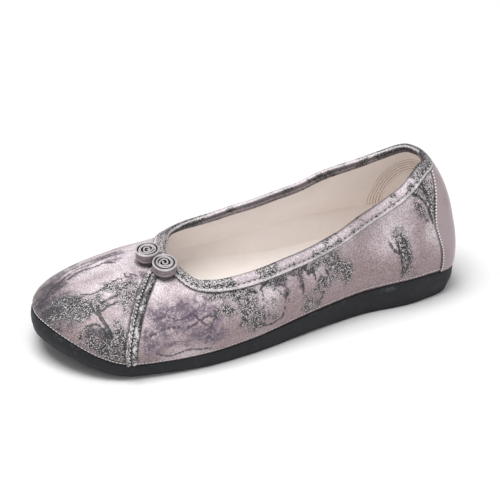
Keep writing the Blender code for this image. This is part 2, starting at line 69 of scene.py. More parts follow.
# Sizes of the last, the same as the solids'
LENGTH = 0.245
BALL_WIDTH = 0.086
LAST_HEIGHT = 0.100
SOLE_HEIGHT = 0.0162
TOE_SPRING = 0.0137
SIDE_BULGE = 0.0031
HEEL_BULGE = 0.0002
BULGE_RISE = 0.028
BULGE_START = 0.15
GAP = 0.0003
WALL = 0.0016
LIP_HEIGHT = 0.0015
LIP_IN = 0.0005
LIP_OUT = 0.0005
TREAD_CHAMFER = 0.0009
WAIST_LIFT = 0.0006
INSOLE_THICKNESS = 0.0025
FULLNESS = 2.54
SPINE_BACK = 0.156
SPINE_FRONT = 0.791
SPINE_BLEND = 0.05
TUCK_RISE = 0.004
TOP_ANGLE = math.radians(89.99)
OUTLINE_SAMPLES = 40

# Sizes of the trim, the same as the solids'
BINDING_WIDTH = 0.006
BINDING_INSIDE = 0.0036
BINDING_THICKNESS = 0.0006
BINDING_LIFT = 0.00045
STRIP_WIDTH = 0.0062
STRIP_THICKNESS = 0.0007
PIPING_HEIGHT = 0.0012
HEEL_PIECE_THICKNESS = 0.0007
BUTTON_DIAMETER = 0.0128
BUTTON_HEIGHT = 0.0058
BUTTON_RIBBON = 0.0018
BUTTON_STEM = 0.0050
BUTTON_LIFT = BINDING_LIFT + max(BINDING_THICKNESS, PIPING_HEIGHT) + GAP
HEEL_REACH = 0.25
INSOLE_INSET = LIP_IN + GAP + WALL + GAP

OUTLINE = table(
    "at lateral medial",
    (0.030, 0.253, 0.212), (0.110, 0.323, 0.301), (0.265, 0.327, 0.301), (0.425, 0.402, 0.325),
    (0.565, 0.474, 0.432), (0.700, 0.503, 0.512), (0.800, 0.483, 0.487), (0.880, 0.437, 0.430),
    (0.945, 0.320, 0.312), (0.983, 0.178, 0.165),
)
TOE_TIP = 0.008

SOLE_THICKNESS = table(
    "at share",
    (0.00, 0.87), (0.12, 1.00), (0.25, 0.925), (0.40, 0.80), (0.55, 0.61), (0.70, 0.505), (0.82, 0.44),
    (0.92, 0.49), (1.00, 0.65),
)
SPRING = table("at share", (0.00, 0.0), (0.66, 0.0), (0.77, 0.085), (0.88, 0.205), (1.00, 1.0))
WAIST = table(
    "at share",
    (0.00, 0.0), (0.27, 0.0), (0.31, 0.0), (0.40, 1.0), (0.49, 0.0), (0.53, 0.0), (1.00, 0.0),
)
RIDGE = table(
    "at share",
    (0.00, 1.04), (0.15, 0.845), (0.30, 1.00), (0.45, 0.817), (0.58, 0.593), (0.66, 0.467), (0.74, 0.436),
    (0.82, 0.399), (0.90, 0.278),
)
RIDGE_SIDE = table(
    "at share",
    (0.00, 0.0), (0.15, 0.0), (0.30, -0.020), (0.45, -0.030), (0.58, -0.015), (0.70, 0.010), (0.80, 0.030),
    (1.00, 0.060),
)
TREAD_TAPER = table(
    "at share",
    (0.00, 0.125), (0.10, 0.07), (0.30, 0.03), (0.60, 0.01), (0.90, 0.03), (1.00, 0.03),
)

COLLAR = table(
    "at lateral medial",
    (0.000, 66.0, 66.0), (0.030, 66.5, 65.0), (0.060, 65.5, 62.5), (0.090, 62.5, 59.0), (0.130, 56.5, 53.0),
    (0.190, 45.5, 44.0), (0.250, 35.5, 36.5), (0.320, 29.5, 31.0), (0.400, 30.0, 32.5), (0.475, 34.0, 35.5),
    (0.550, 41.0, 40.5), (0.600, 47.5, 48.5), (0.620, 51.0, 53.0), (0.640, 55.0, 59.5), (0.655, 58.5, 66.5),
    (0.668, 61.5, 74.0), (0.686, 69.0, 82.0), (0.696, 79.0, 86.5), (0.699, 84.5, 88.3),
    (0.700, 89.99, 89.99),
)
THROAT = COLLAR[-1].at
FRONT_BINDING_OUTER = 0.668
FRONT_BINDING_INNER = 0.655

STRIP_ROUTE = table(
    "at angle",
    (0.733, 79.0), (0.755, 79.0), (0.777, 77.5), (0.803, 69.0), (0.826, 59.0), (0.840, 49.5),
    (0.8475, 41.0), (0.854, 28.5), (0.8565, 16.0), (0.855, 7.5), (0.853, 2.6),
)

HEEL_SEAM = table(
    "up at",
    (0.00, 0.064), (0.20, 0.070), (0.38, 0.077), (0.57, 0.075), (0.78, 0.057), (1.00, 0.033),
)

BUTTONS = table(
    "name node at angle turn on_strip",
    ("rolled_button_front", "button_front", 0.757, 89.9, 200.0, False),
    ("rolled_button_rear", "button_rear", 0.737, 77.4, 20.0, True),
)

# Camera of the photo: turn and height round the shoe, roll, distance, and where it looks
CAMERA_TURN = -30.393
CAMERA_HEIGHT = 30.659
CAMERA_ROLL = 4.453
CAMERA_DISTANCE = 2.836
CAMERA_LENS = 385.0
CAMERA_AIM = 0.030
CAMERA_SHIFT = (0.010, 0.0266)

# Floor and lights, which look at a point at the height of the aim
FLOOR_SIZE = 12.0
FLOOR_DROP = -0.0001
ROOM_LIGHT = 0.42
LIGHT_AIM = 0.03
LIGHTS = table(
    "name place size power",
    ("key", (-0.9, -0.1, 3.1), (1.9, 1.9), 100.0),
    ("fill", (0.2, -1.7, 0.9), (1.6, 0.9), 6.0),
)

# The print: strokes of ink laid on the cloth, by kind of ink and by side, -1 for the outer one. The layer of
# light strokes is no ink but painted highlight, laid where the light falls brightest.
# A stroke has the brush's full width in mm, then its places: thousandths of the way from heel
# to toe, and degrees up the last.
PRINT = table(
    "layer side strokes",
    # Painted highlights, on both sides: light cloth laid where the light falls brightest
    ("pale", -1, (
        (12.0, (968, 72), (940, 74)), (12.0, (800, 68), (775, 68)), (10.0, (900, 80), (860, 78), (830, 74)),
        (4.0, (524, 21), (514, 13)),
    )),
    ("pale", 1, (
        (16.0, (945, 64), (905, 70), (850, 74), (800, 74)), (8.0, (760, 70), (720, 72)),
    )),
    ("warm", -1, (
        (16.0, (992, 12), (965, 16), (940, 14)), (8.0, (975, 32), (960, 36)),
        (12.0, (640, 12), (560, 8), (480, 8)), (14.0, (330, 16), (270, 10), (200, 8)),
        (10.0, (120, 36), (130, 20), (120, 8)),
    )),
    ("warm", 1, (
        (14.0, (980, 12), (930, 14)), (14.0, (340, 14), (230, 10)),
    )),
    ("wash", -1, (
        (5.0, (850, 80), (825, 84), (805, 82)), (4.0, (870, 84), (835, 80)),
        (4.5, (812, 50), (800, 44), (790, 36)), (5.5, (786, 44), (770, 49), (757, 43)),
        (5.5, (738, 42), (720, 48), (706, 43)), (3.0, (695, 48), (680, 52), (668, 46)),
        (8.0, (792, 37), (730, 38), (690, 40), (662, 36)), (3.0, (802, 19), (765, 20), (730, 17)),
        (4.2, (822, 33), (780, 27), (735, 29), (690, 26), (650, 27)), (2.8, (826, 30), (822, 18), (818, 6)),
        (2.4, (822, 24), (806, 16), (797, 6)), (2.2, (800, 22), (796, 12), (798, 6)),
        (5.0, (704, 20), (675, 15), (650, 16)),
    )),
    ("wash", 1, (
        (3.8, (985, 52), (965, 62), (935, 70)), (4.0, (880, 78), (830, 78)),
        (5.0, (975, 42), (920, 56), (870, 63)), (6.0, (850, 66), (790, 70)),
        (10.0, (800, 42), (770, 46), (735, 40), (700, 45), (670, 38)),
        (7.0, (790, 28), (740, 24), (690, 27)), (2.2, (785, 26), (778, 14), (772, 5)),
        (7.0, (380, 18), (340, 13)),
    )),
    ("twig", -1, (
        (0.9, (962, 64), (945, 60), (930, 64), (905, 68)),
        (0.8, (905, 86), (880, 82), (845, 84), (820, 80)),
        (0.9, (992, 62), (975, 68), (960, 78), (930, 82), (900, 80)),
        (0.7, (865, 78), (845, 74), (830, 76)),
        (0.8, (815, 29), (770, 33), (720, 30), (680, 34), (655, 30)),
        (0.7, (806, 41), (770, 42), (742, 37), (700, 40)),
        (0.9, (800, 12), (770, 7), (735, 10), (700, 8), (670, 6)),
        (0.9, (708, 38), (690, 30), (668, 22), (652, 14)),
        (0.8, (690, 14), (676, 22), (664, 30), (650, 34)),
    )),
    ("twig", 1, (
        (1.0, (995, 38), (978, 50), (962, 57), (930, 62), (900, 68), (860, 70), (820, 70)),
        (0.8, (940, 52), (905, 60), (880, 60), (840, 66), (790, 66)),
        (0.9, (975, 60), (950, 66), (930, 74), (890, 76), (870, 82)),
        (0.9, (790, 10), (750, 7), (700, 10), (660, 6)), (0.9, (330, 8), (295, 12), (260, 8)),
    )),
    ("smudge", -1, (
        (22.0, (1000, 22), (998, 34), (990, 42)), (8.0, (984, 34), (972, 28)), (10.0, (999, 26), (999, 38)),
        (6.0, (994, 40), (984, 46)), (5.0, (918, 24), (898, 17), (880, 12)),
    )),
    ("smudge", 1, (
        (16.0, (999, 22), (994, 34), (975, 44)), (12.0, (992, 22), (998, 30)),
    )),
    ("leaf", -1, (
        (3.5, (994, 28), (985, 36)), (11.0, (993, 42), (978, 52), (958, 60)), (6.0, (985, 38), (968, 44)),
        (5.0, (955, 74), (905, 74), (850, 72)), (8.0, (895, 68), (868, 64), (858, 56)),
        (11.0, (935, 25), (905, 20), (878, 14)), (7.0, (905, 12), (875, 6)), (6.0, (888, 42), (878, 28)),
        (5.5, (655, 47), (630, 42)), (6.0, (640, 34), (625, 30)), (10.0, (612, 40), (590, 34), (578, 24)),
        (6.0, (588, 18), (570, 13)), (1.8, (530, 20), (518, 19), (508, 16)), (1.4, (526, 12), (512, 10)),
        (8.0, (574, 30), (562, 12)), (4.0, (530, 31), (508, 28)), (4.0, (408, 24), (396, 22)),
        (5.0, (338, 18), (322, 15), (318, 11)), (8.0, (376, 22), (358, 20), (345, 15)),
        (5.0, (388, 12), (372, 12)), (6.0, (424, 8), (402, 4)), (5.0, (186, 25), (178, 19), (174, 9)),
        (3.4, (166, 5), (150, 4)), (7.0, (96, 57), (84, 46), (80, 34)), (4.0, (125, 52), (110, 48)),
        (4.0, (118, 38), (100, 31)),
    )),
    ("leaf", 1, (
        (10.0, (925, 38), (895, 42), (862, 36)), (7.0, (868, 24), (838, 16)), (7.0, (640, 40), (615, 34)),
        (9.5, (600, 38), (575, 31), (560, 20)), (5.5, (535, 16), (510, 11)),
        (6.5, (450, 25), (425, 20), (400, 22)), (5.0, (300, 22), (280, 14), (268, 6)),
        (5.5, (182, 27), (172, 18), (168, 9)), (6.5, (98, 54), (86, 44), (80, 33)),
    )),
    ("ink", -1, (
        (1.8, (948, 57), (936, 50), (922, 44), (908, 38), (898, 30)),
        (1.0, (936, 52), (922, 58), (900, 62)), (0.9, (966, 58), (950, 52), (938, 49)),
        (0.9, (948, 36), (934, 40), (918, 37), (905, 30)), (1.0, (574, 33), (552, 29), (524, 30)),
        (1.2, (540, 27), (541, 8)), (1.2, (500, 22), (484, 15), (492, 7)),
        (0.9, (545, 8), (520, 6), (492, 7)), (1.4, (479, 18), (475, 14)), (1.4, (438, 17), (435, 13)),
        (1.3, (430, 25), (420, 20), (410, 21), (400, 15), (386, 16)),
        (0.9, (425, 23), (418, 28), (405, 30)), (1.1, (358, 18), (372, 14), (380, 8), (392, 3)),
        (0.8, (372, 19), (378, 14)), (1.0, (190, 23), (186, 18), (181, 11), (176, 4)),
        (0.9, (178, 25), (168, 20), (166, 11), (172, 6)), (0.9, (208, 21), (196, 17)),
        (1.0, (135, 47), (112, 45), (95, 38), (86, 28)), (0.9, (120, 53), (100, 50), (86, 44)),
        (0.9, (105, 57), (92, 52), (84, 38)),
    )),
    ("ink", 1, (
        (1.3, (885, 38), (872, 28), (876, 18), (862, 8)), (0.9, (875, 26), (852, 32)),
        (1.2, (590, 32), (575, 22), (580, 14), (565, 5)), (0.9, (550, 26), (525, 18), (500, 24)),
        (1.2, (440, 21), (425, 14), (428, 8), (412, 3)), (0.8, (426, 13), (405, 16)),
        (1.0, (190, 24), (176, 16), (174, 8), (164, 3)), (1.0, (130, 46), (108, 42), (88, 30)),
    )),
    ("hill", -1, (
        (4.0, (998, 24), (998, 33), (993, 40)), (5.0, (938, 32), (922, 34), (910, 30)),
        (3.0, (565, 37), (545, 33), (532, 31)), (6.2, (500, 29), (486, 26)), (3.2, (484, 23), (479, 18)),
        (6.4, (463, 27), (445, 24)), (3.2, (442, 21), (438, 17)),
    )),
    ("hill", 1, (
        (3.0, (999, 26), (996, 34)), (4.5, (880, 12), (850, 10)), (3.5, (548, 30), (520, 27)),
    )),
)
FAR_FROM_STROKES = 0.05
STROKE_REACH = 0.02       # points farther off than this and the stroke's length aren't measured

# How inked the tapes are, by place round the shoe: minus on the outer side
TAPE_INK = table(
    "place value",
    (-0.70, 0.08), (-0.61, 0.10), (-0.59, -0.10), (-0.555, -0.10), (-0.54, 0.09), (-0.50, 0.07),
    (-0.485, -0.10), (-0.40, -0.05), (-0.38, 0.03), (-0.30, -0.03), (-0.20, -0.08), (-0.13, -0.04),
    (-0.11, 0.16), (-0.06, 0.34), (0.05, 0.34), (0.11, 0.22), (0.15, -0.04), (0.30, -0.02), (0.45, -0.08),
    (0.545, 0.00), (0.57, 0.30), (0.65, 0.34), (0.66, 0.12), (0.70, 0.12),
)

# Soft troughs in the cloth: depth is inwards, width the reach of the trough
TROUGHS = table(
    "side depth width route",
    (-1, 0.0007, 0.010, ((560, 22), (440, 12), (340, 12))),
    (-1, 0.0005, 0.006, ((890, 60), (880, 34), (876, 10))),
    (-1, 0.0004, 0.006, ((800, 58), (790, 36))),
    (-1, -0.0004, 0.007, ((700, 20), (640, 14))),
    (1, 0.0006, 0.010, ((540, 20), (420, 12), (330, 12))),
    (-1, 0.0004, 0.007, ((150, 30), (140, 10))),
)
SOCK_TURN_UP = 14.0       # angle up the last where the sock's rim ends
SOCK_FLAT = 0.60          # share of the sock that lies flat
SOCK_TOP = 0.90           # share of the sock's section that is its top; the rest is its underside
GRIP_CENTRE = (0.1125, 0.038)    # x and z
GRIP_RADII = (0.0240, 0.0290)
GRIP_PITCH = 0.0016
GRIP_BAND = 0.0086
PUCKER_DEPTH = 0.00022    # small waves of the cloth over the sole's rim
PUCKER_PITCH = 0.0075
PUCKER_RISE = 0.005
PUCKER_START = 0.002      # height over which they begin
PUCKER_SLANT = 1.7
PUCKER_DRIFT = 2.0        # how far they wander along the side, and how often
PUCKER_DRIFT_RATE = 90.0

# The throat's corners, where the cloth's columns stand closer together
CORNER_AT = 0.69
CORNER_PULL = 0.012
CORNER_REACH = 0.04
CREST_ABOVE = 0.030       # the cloth's two halves are joined over the vamp, above this height
CREST_WELD = 0.0006

# The sock lies a little inside the lining, and is trodden from its edge inwards
SOCK_INSET = INSOLE_INSET + 0.0001
SOCK_DEPTH = 0.00153
TRODDEN_EDGE = 0.86
TRODDEN_REACH = 0.45

TREAD_PITCH = 0.005
TREAD_LAND = 0.72         # share of the pitch's half that is flat, and share of it that slopes
TREAD_SLOPE = 0.12
GROOVE_INSET = 4.3 * TREAD_CHAMFER
SOLE_MIDDLE_WELD = 0.0004

FEATHER_RISE = 0.0007     # height of the seam over the sole's rim
FEATHER_PITCH = 0.0020
FEATHER_STITCH = 0.0018

# The rolled ribbon: turns left out in the middle, turns of the level coil before the step
# out, of the step and of the outermost ribbon, and the waves of its radius and height
ROLL_START = 0.28
ROLL_LEVEL = 0.80
ROLL_STEP = 0.22
ROLL_OUTER = 1.02
ROLL_STEPS = 44           # points to a turn
ROLL_WAVE = 0.00020
ROLL_WOBBLE = 0.00012

# Narrow shades beside the trim, in the cloth's fields: metres, or shares of the button
TAPE_SHADE = 0.0003
STRIP_SHADE = 0.0002
HEEL_SHADE = 0.003        # as a step round the shoe
BUTTON_SHADES = (0.40, 0.52)

# Counts and spacings of facets, and the distance at which vertices are joined
CLOTH_GRID = (640, 72)
LINING_GRID = (320, 36)
SOCK_GRID = (240, 40)
HEEL_GRID = (70, 60)
TAPE_STEP = 0.0010
SOLE_COLUMNS = 420
STRIP_STEPS = 140
WELD = 0.00002


def run_of(points):
    """Distance of each point of a polyline from its start."""
    return np.r_[0, np.cumsum(np.linalg.norm(np.diff(points, axis=0), axis=1))]


def along(spots, run, points):
    """Points of a polyline, or what goes with them, at distances along it."""
    return np.stack([np.interp(spots, run, line) for line in points.T], -1)


def unit(vectors):
    return vectors / np.linalg.norm(vectors, axis=-1, keepdims=True)


def smooth(values, places, at):
    """Cubic through values at known places, with the slopes of their neighbours."""
    slopes = np.gradient(values, places)
    i = np.clip(np.searchsorted(places, at) - 1, 0, len(places) - 2)
    span = places[i + 1] - places[i]
    part = np.clip((at - places[i]) / span, 0.0, 1.0)
    rest = 1 - part
    return ((1 + 2 * part) * rest ** 2 * values[i] + part * rest ** 2 * span * slopes[i]
            + part ** 2 * (3 - 2 * part) * values[i + 1] - part ** 2 * rest * span * slopes[i + 1])


def column(rows, at, name="share", by="at"):
    """Smooth value of a table's column, where its column `by` equals `at`."""
    places, values = (np.array([getattr(row, key) for row in rows]) for key in (by, name))
    return smooth(values, places, np.asarray(at, float))


def through(values, steps):
    """Even steps on a smooth curve through a list of values."""
    return smooth(np.array(values, float), np.arange(len(values)), np.linspace(0, len(values) - 1, steps))


def closed_curve(points):
    """Dense smooth closed curve through a ring of points."""
    ring = np.vstack([points[-3:], points, points[:4]])
    run = run_of(ring)
    steps = np.linspace(3, 3 + len(points), len(points) * OUTLINE_SAMPLES, endpoint=False)
    at = np.interp(steps, np.arange(len(ring)), run)
    return np.stack([smooth(line, run, at) for line in ring.T], -1)


def feather_halves():
    """Outer and inner half of the feather line, from heel to toe, and its outward normals."""
    lateral = [(0.5 - row.at, -row.lateral) for row in OUTLINE]
    medial = [(0.5 - row.at, row.medial) for row in OUTLINE]
    shares = [(0.5, 0.0)] + lateral + [(-0.5, TOE_TIP)] + medial[::-1]
    curve = closed_curve(np.array(shares) * (LENGTH, BALL_WIDTH))
    curve = np.roll(curve, -int(curve[:, 0].argmax()), axis=0)
    ahead = unit(np.roll(curve, -1, axis=0) - np.roll(curve, 1, axis=0))
    outward = np.c_[-ahead[:, 1], ahead[:, 0]]
    toe = int(curve[:, 0].argmin())
    whole = np.hstack([curve, outward])
    return whole[:toe + 1], np.vstack([whole[toe:], whole[:1]])[::-1]


LATERAL_HALF, MEDIAL_HALF = feather_halves()
HEEL_X = LATERAL_HALF[0, 0]
TOE_X = LATERAL_HALF[-1, 0]


def wrapped(turn):
    """A place round the shoe: 0 at the heel, -1 and 1 at the toe, minus on the outer side."""
    return (np.asarray(turn, float) + 1.0) % 2.0 - 1.0


def share_of(turn):
    return (1 - np.cos(np.pi * np.abs(turn))) / 2


def turn_of(share):
    return np.arccos(1 - 2 * np.asarray(share, float)) / np.pi


CREST_TURN = float(turn_of(THROAT))


def share_at(x):
    return np.clip((HEEL_X - np.asarray(x)) / (HEEL_X - TOE_X), 0.0, 1.0)


def feather(turn):
    """Feather line's x and y, and its outward normal's x and y."""
    turn = wrapped(turn)
    halves = [along(np.abs(turn), turn_of(share_at(half[:, 0])), half)
              for half in (LATERAL_HALF, MEDIAL_HALF)]
    return np.moveaxis(np.where((turn < 0)[..., None], *halves), -1, 0)


def spring(at):
    return TOE_SPRING * np.maximum(column(SPRING, at), 0.0)


def tread_z(x):
    at = share_at(x)
    return spring(at) + WAIST_LIFT * np.maximum(column(WAIST, at), 0.0)


def feather_z(x):
    at = share_at(x)
    return spring(at) + SOLE_HEIGHT * column(SOLE_THICKNESS, at)


def seat_z(x):
    return feather_z(x) - LIP_HEIGHT


def insole_z(x):
    return seat_z(x) + GAP


def spine(share):
    """Where on the ridge the rib of a station ends: the ribs fan out at heel and toe."""
    front = SPINE_FRONT - SPINE_BLEND * np.logaddexp(0, (SPINE_FRONT - share) / SPINE_BLEND)
    return SPINE_BACK + SPINE_BLEND * np.logaddexp(0, (front - SPINE_BACK) / SPINE_BLEND)


def ridge_z(share):
    return LAST_HEIGHT * column(RIDGE, share)


def last(turn, angle):
    """Point of the last: turn goes round the feather line, angle up the rib to the ridge."""
    turn, angle = np.broadcast_arrays(wrapped(turn), np.asarray(angle, float))
    share = share_of(turn)
    x, y, out_x, out_y = feather(turn)
    foot_z = feather_z(x)
    on_spine = spine(share)
    top_x = HEEL_X + (TOE_X - HEEL_X) * on_spine
    top_y = BALL_WIDTH * column(RIDGE_SIDE, on_spine)
    top_z = ridge_z(on_spine)
    step = 0.001
    slope = (ridge_z(on_spine - step) - ridge_z(on_spine + step)) / (2 * step * LENGTH)
    droop = np.maximum(slope * (top_x - x), 0.0)
    inwards = np.cos(angle) ** (2 / FULLNESS)
    z = foot_z + (top_z - foot_z - droop) * np.sin(angle) + droop * (1 - inwards)
    to_x, to_y = x - top_x, y - top_y
    reach = np.hypot(to_x, to_y)
    bulge = SIDE_BULGE + (HEEL_BULGE - SIDE_BULGE) * np.clip(1 - share / BULGE_START, 0, 1)
    bulge = bulge * np.sin(np.pi * np.clip((z - foot_z) / BULGE_RISE, 0, 1))
    out = inwards * (1 + bulge / reach)
    tuck = (LIP_IN + GAP) * (1 - np.clip((z - foot_z) / TUCK_RISE, 0, 1)) ** 2
    return np.stack([top_x + to_x * out - tuck * out_x, top_y + to_y * out - tuck * out_y, z], -1)


def directions(turn, angle):
    """How the last's point moves with turn and with angle, and the outward normal there."""
    step = 0.002
    low, high = np.maximum(angle - step, 0.0), np.minimum(angle + step, TOP_ANGLE)
    round_way = (last(turn + step, angle) - last(turn - step, angle)) / (2 * step)
    up_way = (last(turn, high) - last(turn, low)) / (high - low)[..., None]
    return round_way, up_way, unit(np.cross(round_way, up_way))


def slid(turn, angle, shift):
    """The place on the last that lies a short vector away, kept on the surface."""
    for part in range(2):
        round_way, up_way, _ = directions(turn, angle)
        a = (round_way * round_way).sum(-1)
        b = (round_way * up_way).sum(-1)
        c = (up_way * up_way).sum(-1)
        p = (round_way * shift / 2).sum(-1)
        q = (up_way * shift / 2).sum(-1)
        det = a * c - b * b
        turn = turn + (p * c - q * b) / det
        angle = np.clip(angle + (q * a - p * b) / det, 0.0, TOP_ANGLE)
    return turn, angle


def lifted(turn, angle, lift):
    return last(turn, angle) + directions(turn, angle)[2] * np.asarray(lift)[..., None]


def collar_angle(turn):
    """Angle at which the upper ends on the rib of a place round the shoe."""
    turn = wrapped(turn)
    share = np.minimum(share_of(turn), THROAT)
    return np.radians(np.where(turn < 0, column(COLLAR, share, "lateral"), column(COLLAR, share, "medial")))


def outline_ring(turns, offset):
    """Points beside the feather line, flat."""
    x, y, out_x, out_y = feather(turns)
    return x + out_x * offset, y + out_y * offset


def standing_shift():
    """Step from the last's own frame to the row's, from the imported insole's place."""
    low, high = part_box("insole")
    x, y = outline_ring(np.linspace(-1, 1, 400), -INSOLE_INSET)
    return np.array([(low.x + high.x) / 2 - (x.min() + x.max()) / 2,
                     (low.y + high.y) / 2 - (y.min() + y.max()) / 2, 0.0])


SHIFT = standing_shift()


def linear(code):
    """Linear colour of a screen colour written as 0xRRGGBB."""
    parts = [((code >> shift) & 255) / 255 for shift in (16, 8, 0)]
    return tuple(p / 12.92 if p <= 0.04045 else ((p + 0.055) / 1.055) ** 2.4 for p in parts)


def laid(mesh, columns, rows, place):
    """Grid of quads, laid by a function of its two shares, each from 0 to 1."""
    made = bmesh.ops.create_grid(mesh, x_segments=columns, y_segments=rows, size=0.5)["verts"]
    shares = np.array([v.co[:2] for v in made]) + 0.5
    for v, point in zip(made, place(shares[:, 0], shares[:, 1]) + SHIFT):
        v.co = point
    return made, shares


def closed(mesh):
    """Fill the mesh's open rims."""
    rims = [edge for edge in mesh.edges if edge.is_boundary]
    bmesh.ops.holes_fill(mesh, edges=rims, sides=0)


def swept(rings, light, inked=0.0):
    """Capped skin over rings of points, with how light and how inked each point is: plus lightens a point,
    minus paints shade on it.
    """
    steps, around = rings.shape[:2]
    light, inked = np.broadcast_to(light, (steps, around)), np.broadcast_to(inked, steps)
    mesh = bmesh.new()
    lit = mesh.verts.layers.float.new("light")
    ink = mesh.verts.layers.float.new("inked")
    for v in bmesh.ops.create_grid(mesh, x_segments=steps - 1, y_segments=around, size=0.5)["verts"]:
        i = round((v.co.x + 0.5) * (steps - 1))
        j = round((v.co.y + 0.5) * around) % around
        v.co = rings[i, j] + SHIFT
        v[lit], v[ink] = light[i, j], inked[i]
    bmesh.ops.remove_doubles(mesh, verts=mesh.verts, dist=WELD / 10)
    closed(mesh)
    return mesh


def added(name, data):
    """New object of the scene."""
    made = bpy.data.objects.new(name, data)
    bpy.context.scene.collection.objects.link(made)
    return made


def mesh_data(mesh, name, material):
    """The bmesh as mesh data with one material."""
    data = bpy.data.meshes.new(name)
    mesh.to_mesh(data)
    mesh.free()
    data.materials.append(material)
    return data


def made_piece(mesh, name, finish, sharp, replaces):
    """Turn a bmesh into a smooth piece that rides on the shoe's one body."""
    bmesh.ops.recalc_face_normals(mesh, faces=mesh.faces)
    data = mesh_data(mesh, name, finish_of(finish))
    data.shade_smooth()
    data.set_sharp_from_angle(angle=math.radians(sharp))
    piece = added(name, data)
    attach(piece, "root")
    if replaces:
        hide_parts(*replaces)
    return piece


def walled(piece, thickness, offset):
    wall = piece.modifiers.new("wall", "SOLIDIFY")
    wall.thickness = thickness
    wall.offset = offset
    wall.use_rim = True


def route_points(side, route, spacing=0.0015):
    """Points on the last along a listed route: thousandths from heel to toe, and degrees up."""
    at, up = (through(values, 24 * (len(route) - 1) + 1) for values in zip(*route))
    points = last(side * turn_of(np.clip(at / 1000, 0, 1)), np.clip(np.radians(up), 0, TOP_ANGLE))
    run = run_of(points)
    return along(np.linspace(0, run[-1], max(2, int(run[-1] / spacing) + 1)), run, points)


def distance_to(points, line):
    """Distance of each point to a polyline."""
    best = np.full(len(points), np.inf)
    for start, end in zip(line, line[1:]):
        way = end - start
        part = np.clip(((points - start) @ way) / (way @ way), 0, 1)
        best = np.minimum(best, np.linalg.norm(points - start - part[:, None] * way, axis=1))
    return best


def sewn(mesh, points, normals, pitch, length, thick, tilt=0.0):
    """Row of stitches along a line, each a small smooth grain of thread."""
    run = run_of(points)
    count = int(run[-1] / pitch)
    centres = (np.arange(count) + 0.5) * run[-1] / count
    ways = along(centres + pitch / 4, run, points) - along(centres - pitch / 4, run, points)
    tilted = Matrix.Rotation(math.radians(tilt), 4, "Z") @ Matrix.Diagonal((length, thick, thick, 1.0))
    for spot, way, up in zip(along(centres, run, points) + SHIFT, ways, along(centres, run, normals)):
        up = Vector(up).normalized()
        side = up.cross(Vector(way)).normalized()
        basis = Matrix((side.cross(up), side, up)).transposed().to_4x4()
        place = Matrix.Translation(spot) @ basis @ tilted
        bmesh.ops.create_icosphere(mesh, subdivisions=2, radius=0.5, matrix=place)


def sewn_piece(name, slot, *seams):
    """Piece of twisted thread made of rows of stitches."""
    thread = bmesh.new()
    for seam in seams:
        sewn(thread, *seam)
    made_piece(thread, name, "twisted_thread", 180.0, ())


class Value:
    """A shader value. Arithmetic on it adds Math nodes to its graph."""

    def __init__(self, graph, socket):
        self.graph = graph
        self.socket = socket

    def math(self, operation, *others):
        return self.graph.add("ShaderNodeMath", {"operation": operation}, [self, *others])

    def __add__(self, other):
        return self.math("ADD", other)

    def __mul__(self, other):
        return self.math("MULTIPLY", other)

    def __sub__(self, other):
        return self.math("SUBTRACT", other)

    def __rsub__(self, other):
        return self.graph.add("ShaderNodeMath", {"operation": "SUBTRACT"}, [other, self])

    __radd__ = __add__
    __rmul__ = __mul__

    def at_least(self, other):
        return self.math("MAXIMUM", other)


class Graph:
    """Node tree of one material, built by adding nodes and reading their outputs."""

    def __init__(self, name, **fixed):
        self.material = bpy.data.materials.new(name)
        self.material.use_nodes = True
        self.nodes = self.material.node_tree.nodes
        self.links = self.material.node_tree.links
        self.shader = self.nodes["Principled BSDF"]
        for socket, value in fixed.items():
            self.shader.inputs[socket.replace("_", " ")].default_value = value

    def put(self, socket, value):
        if isinstance(value, Value):
            self.links.new(value.socket, socket)
        elif socket.type == "RGBA" and len(value) == 3:
            socket.default_value = (*value, 1.0)
        else:
            socket.default_value = value

    def add(self, kind, settings=None, inputs=(), out=0):
        node = self.nodes.new(kind)
        for name, value in (settings or {}).items():
            setattr(node, name, value)
        pairs = inputs.items() if isinstance(inputs, dict) else enumerate(inputs)
        for key, value in pairs:
            self.put(node.inputs[key], value)
        return Value(self, node.outputs[out])

    def place(self):
        return self.add("ShaderNodeTexCoord", out="Object")

    def height(self):
        return self.add("ShaderNodeSeparateXYZ", inputs=[self.place()], out="Z")

    def stretched(self, factors):
        settings = {"operation": "MULTIPLY"}
        return self.add("ShaderNodeVectorMath", settings, [self.place(), factors])

    def attribute(self, name):
        return self.add("ShaderNodeAttribute", {"attribute_name": name}, out="Fac")

    def noise(self, scale, detail=2.0, roughness=0.5, where=None):
        inputs = {"Vector": where or self.place(), "Scale": scale, "Detail": detail,
                  "Roughness": roughness}
        return self.add("ShaderNodeTexNoise", inputs=inputs, out="Fac")

    def mix(self, first, second, factor):
        return self.add("ShaderNodeMix", {"data_type": "RGBA"}, {0: factor, 6: first, 7: second}, out=2)

    def layered(self, colour, *layers):
        """The colour under layers, each a colour and how much it covers."""
        for over, cover in layers:
            colour = self.mix(colour, over, cover)
        return colour

    def between(self, value, low, high, to_low=0.0, to_high=1.0):
        """Smooth step of a value from low to high."""
        inputs = {"Value": value, "From Min": low, "From Max": high, "To Min": to_low, "To Max": to_high}
        return self.add("ShaderNodeMapRange", {"interpolation_type": "SMOOTHSTEP"}, inputs)

    def bright(self, colour, value):
        """The colour with its brightness multiplied by a value."""
        return self.add("ShaderNodeHueSaturation", inputs={"Value": value, "Color": colour})

    def bump(self, height, distance, strength=1.0):
        inputs = {"Height": height, "Distance": distance, "Strength": strength}
        return self.add("ShaderNodeBump", inputs=inputs)

    def finish(self, **outputs):
        for name, value in outputs.items():
            self.put(self.shader.inputs[name.replace("_", " ")], value)
        return self.material


def speckled(graph, ground, colours, density, paper=0.7):
    """Black flecks and light grains of ink on a ground, as dense as asked."""
    grains = graph.noise(1750.0, 0.5)
    light = graph.between(grains, 0.56, 0.63) * density
    dark = graph.between(grains, 0.59, 0.49) * density
    return graph.layered(ground, (colours.paper, light * paper), (colours.ink, dark))


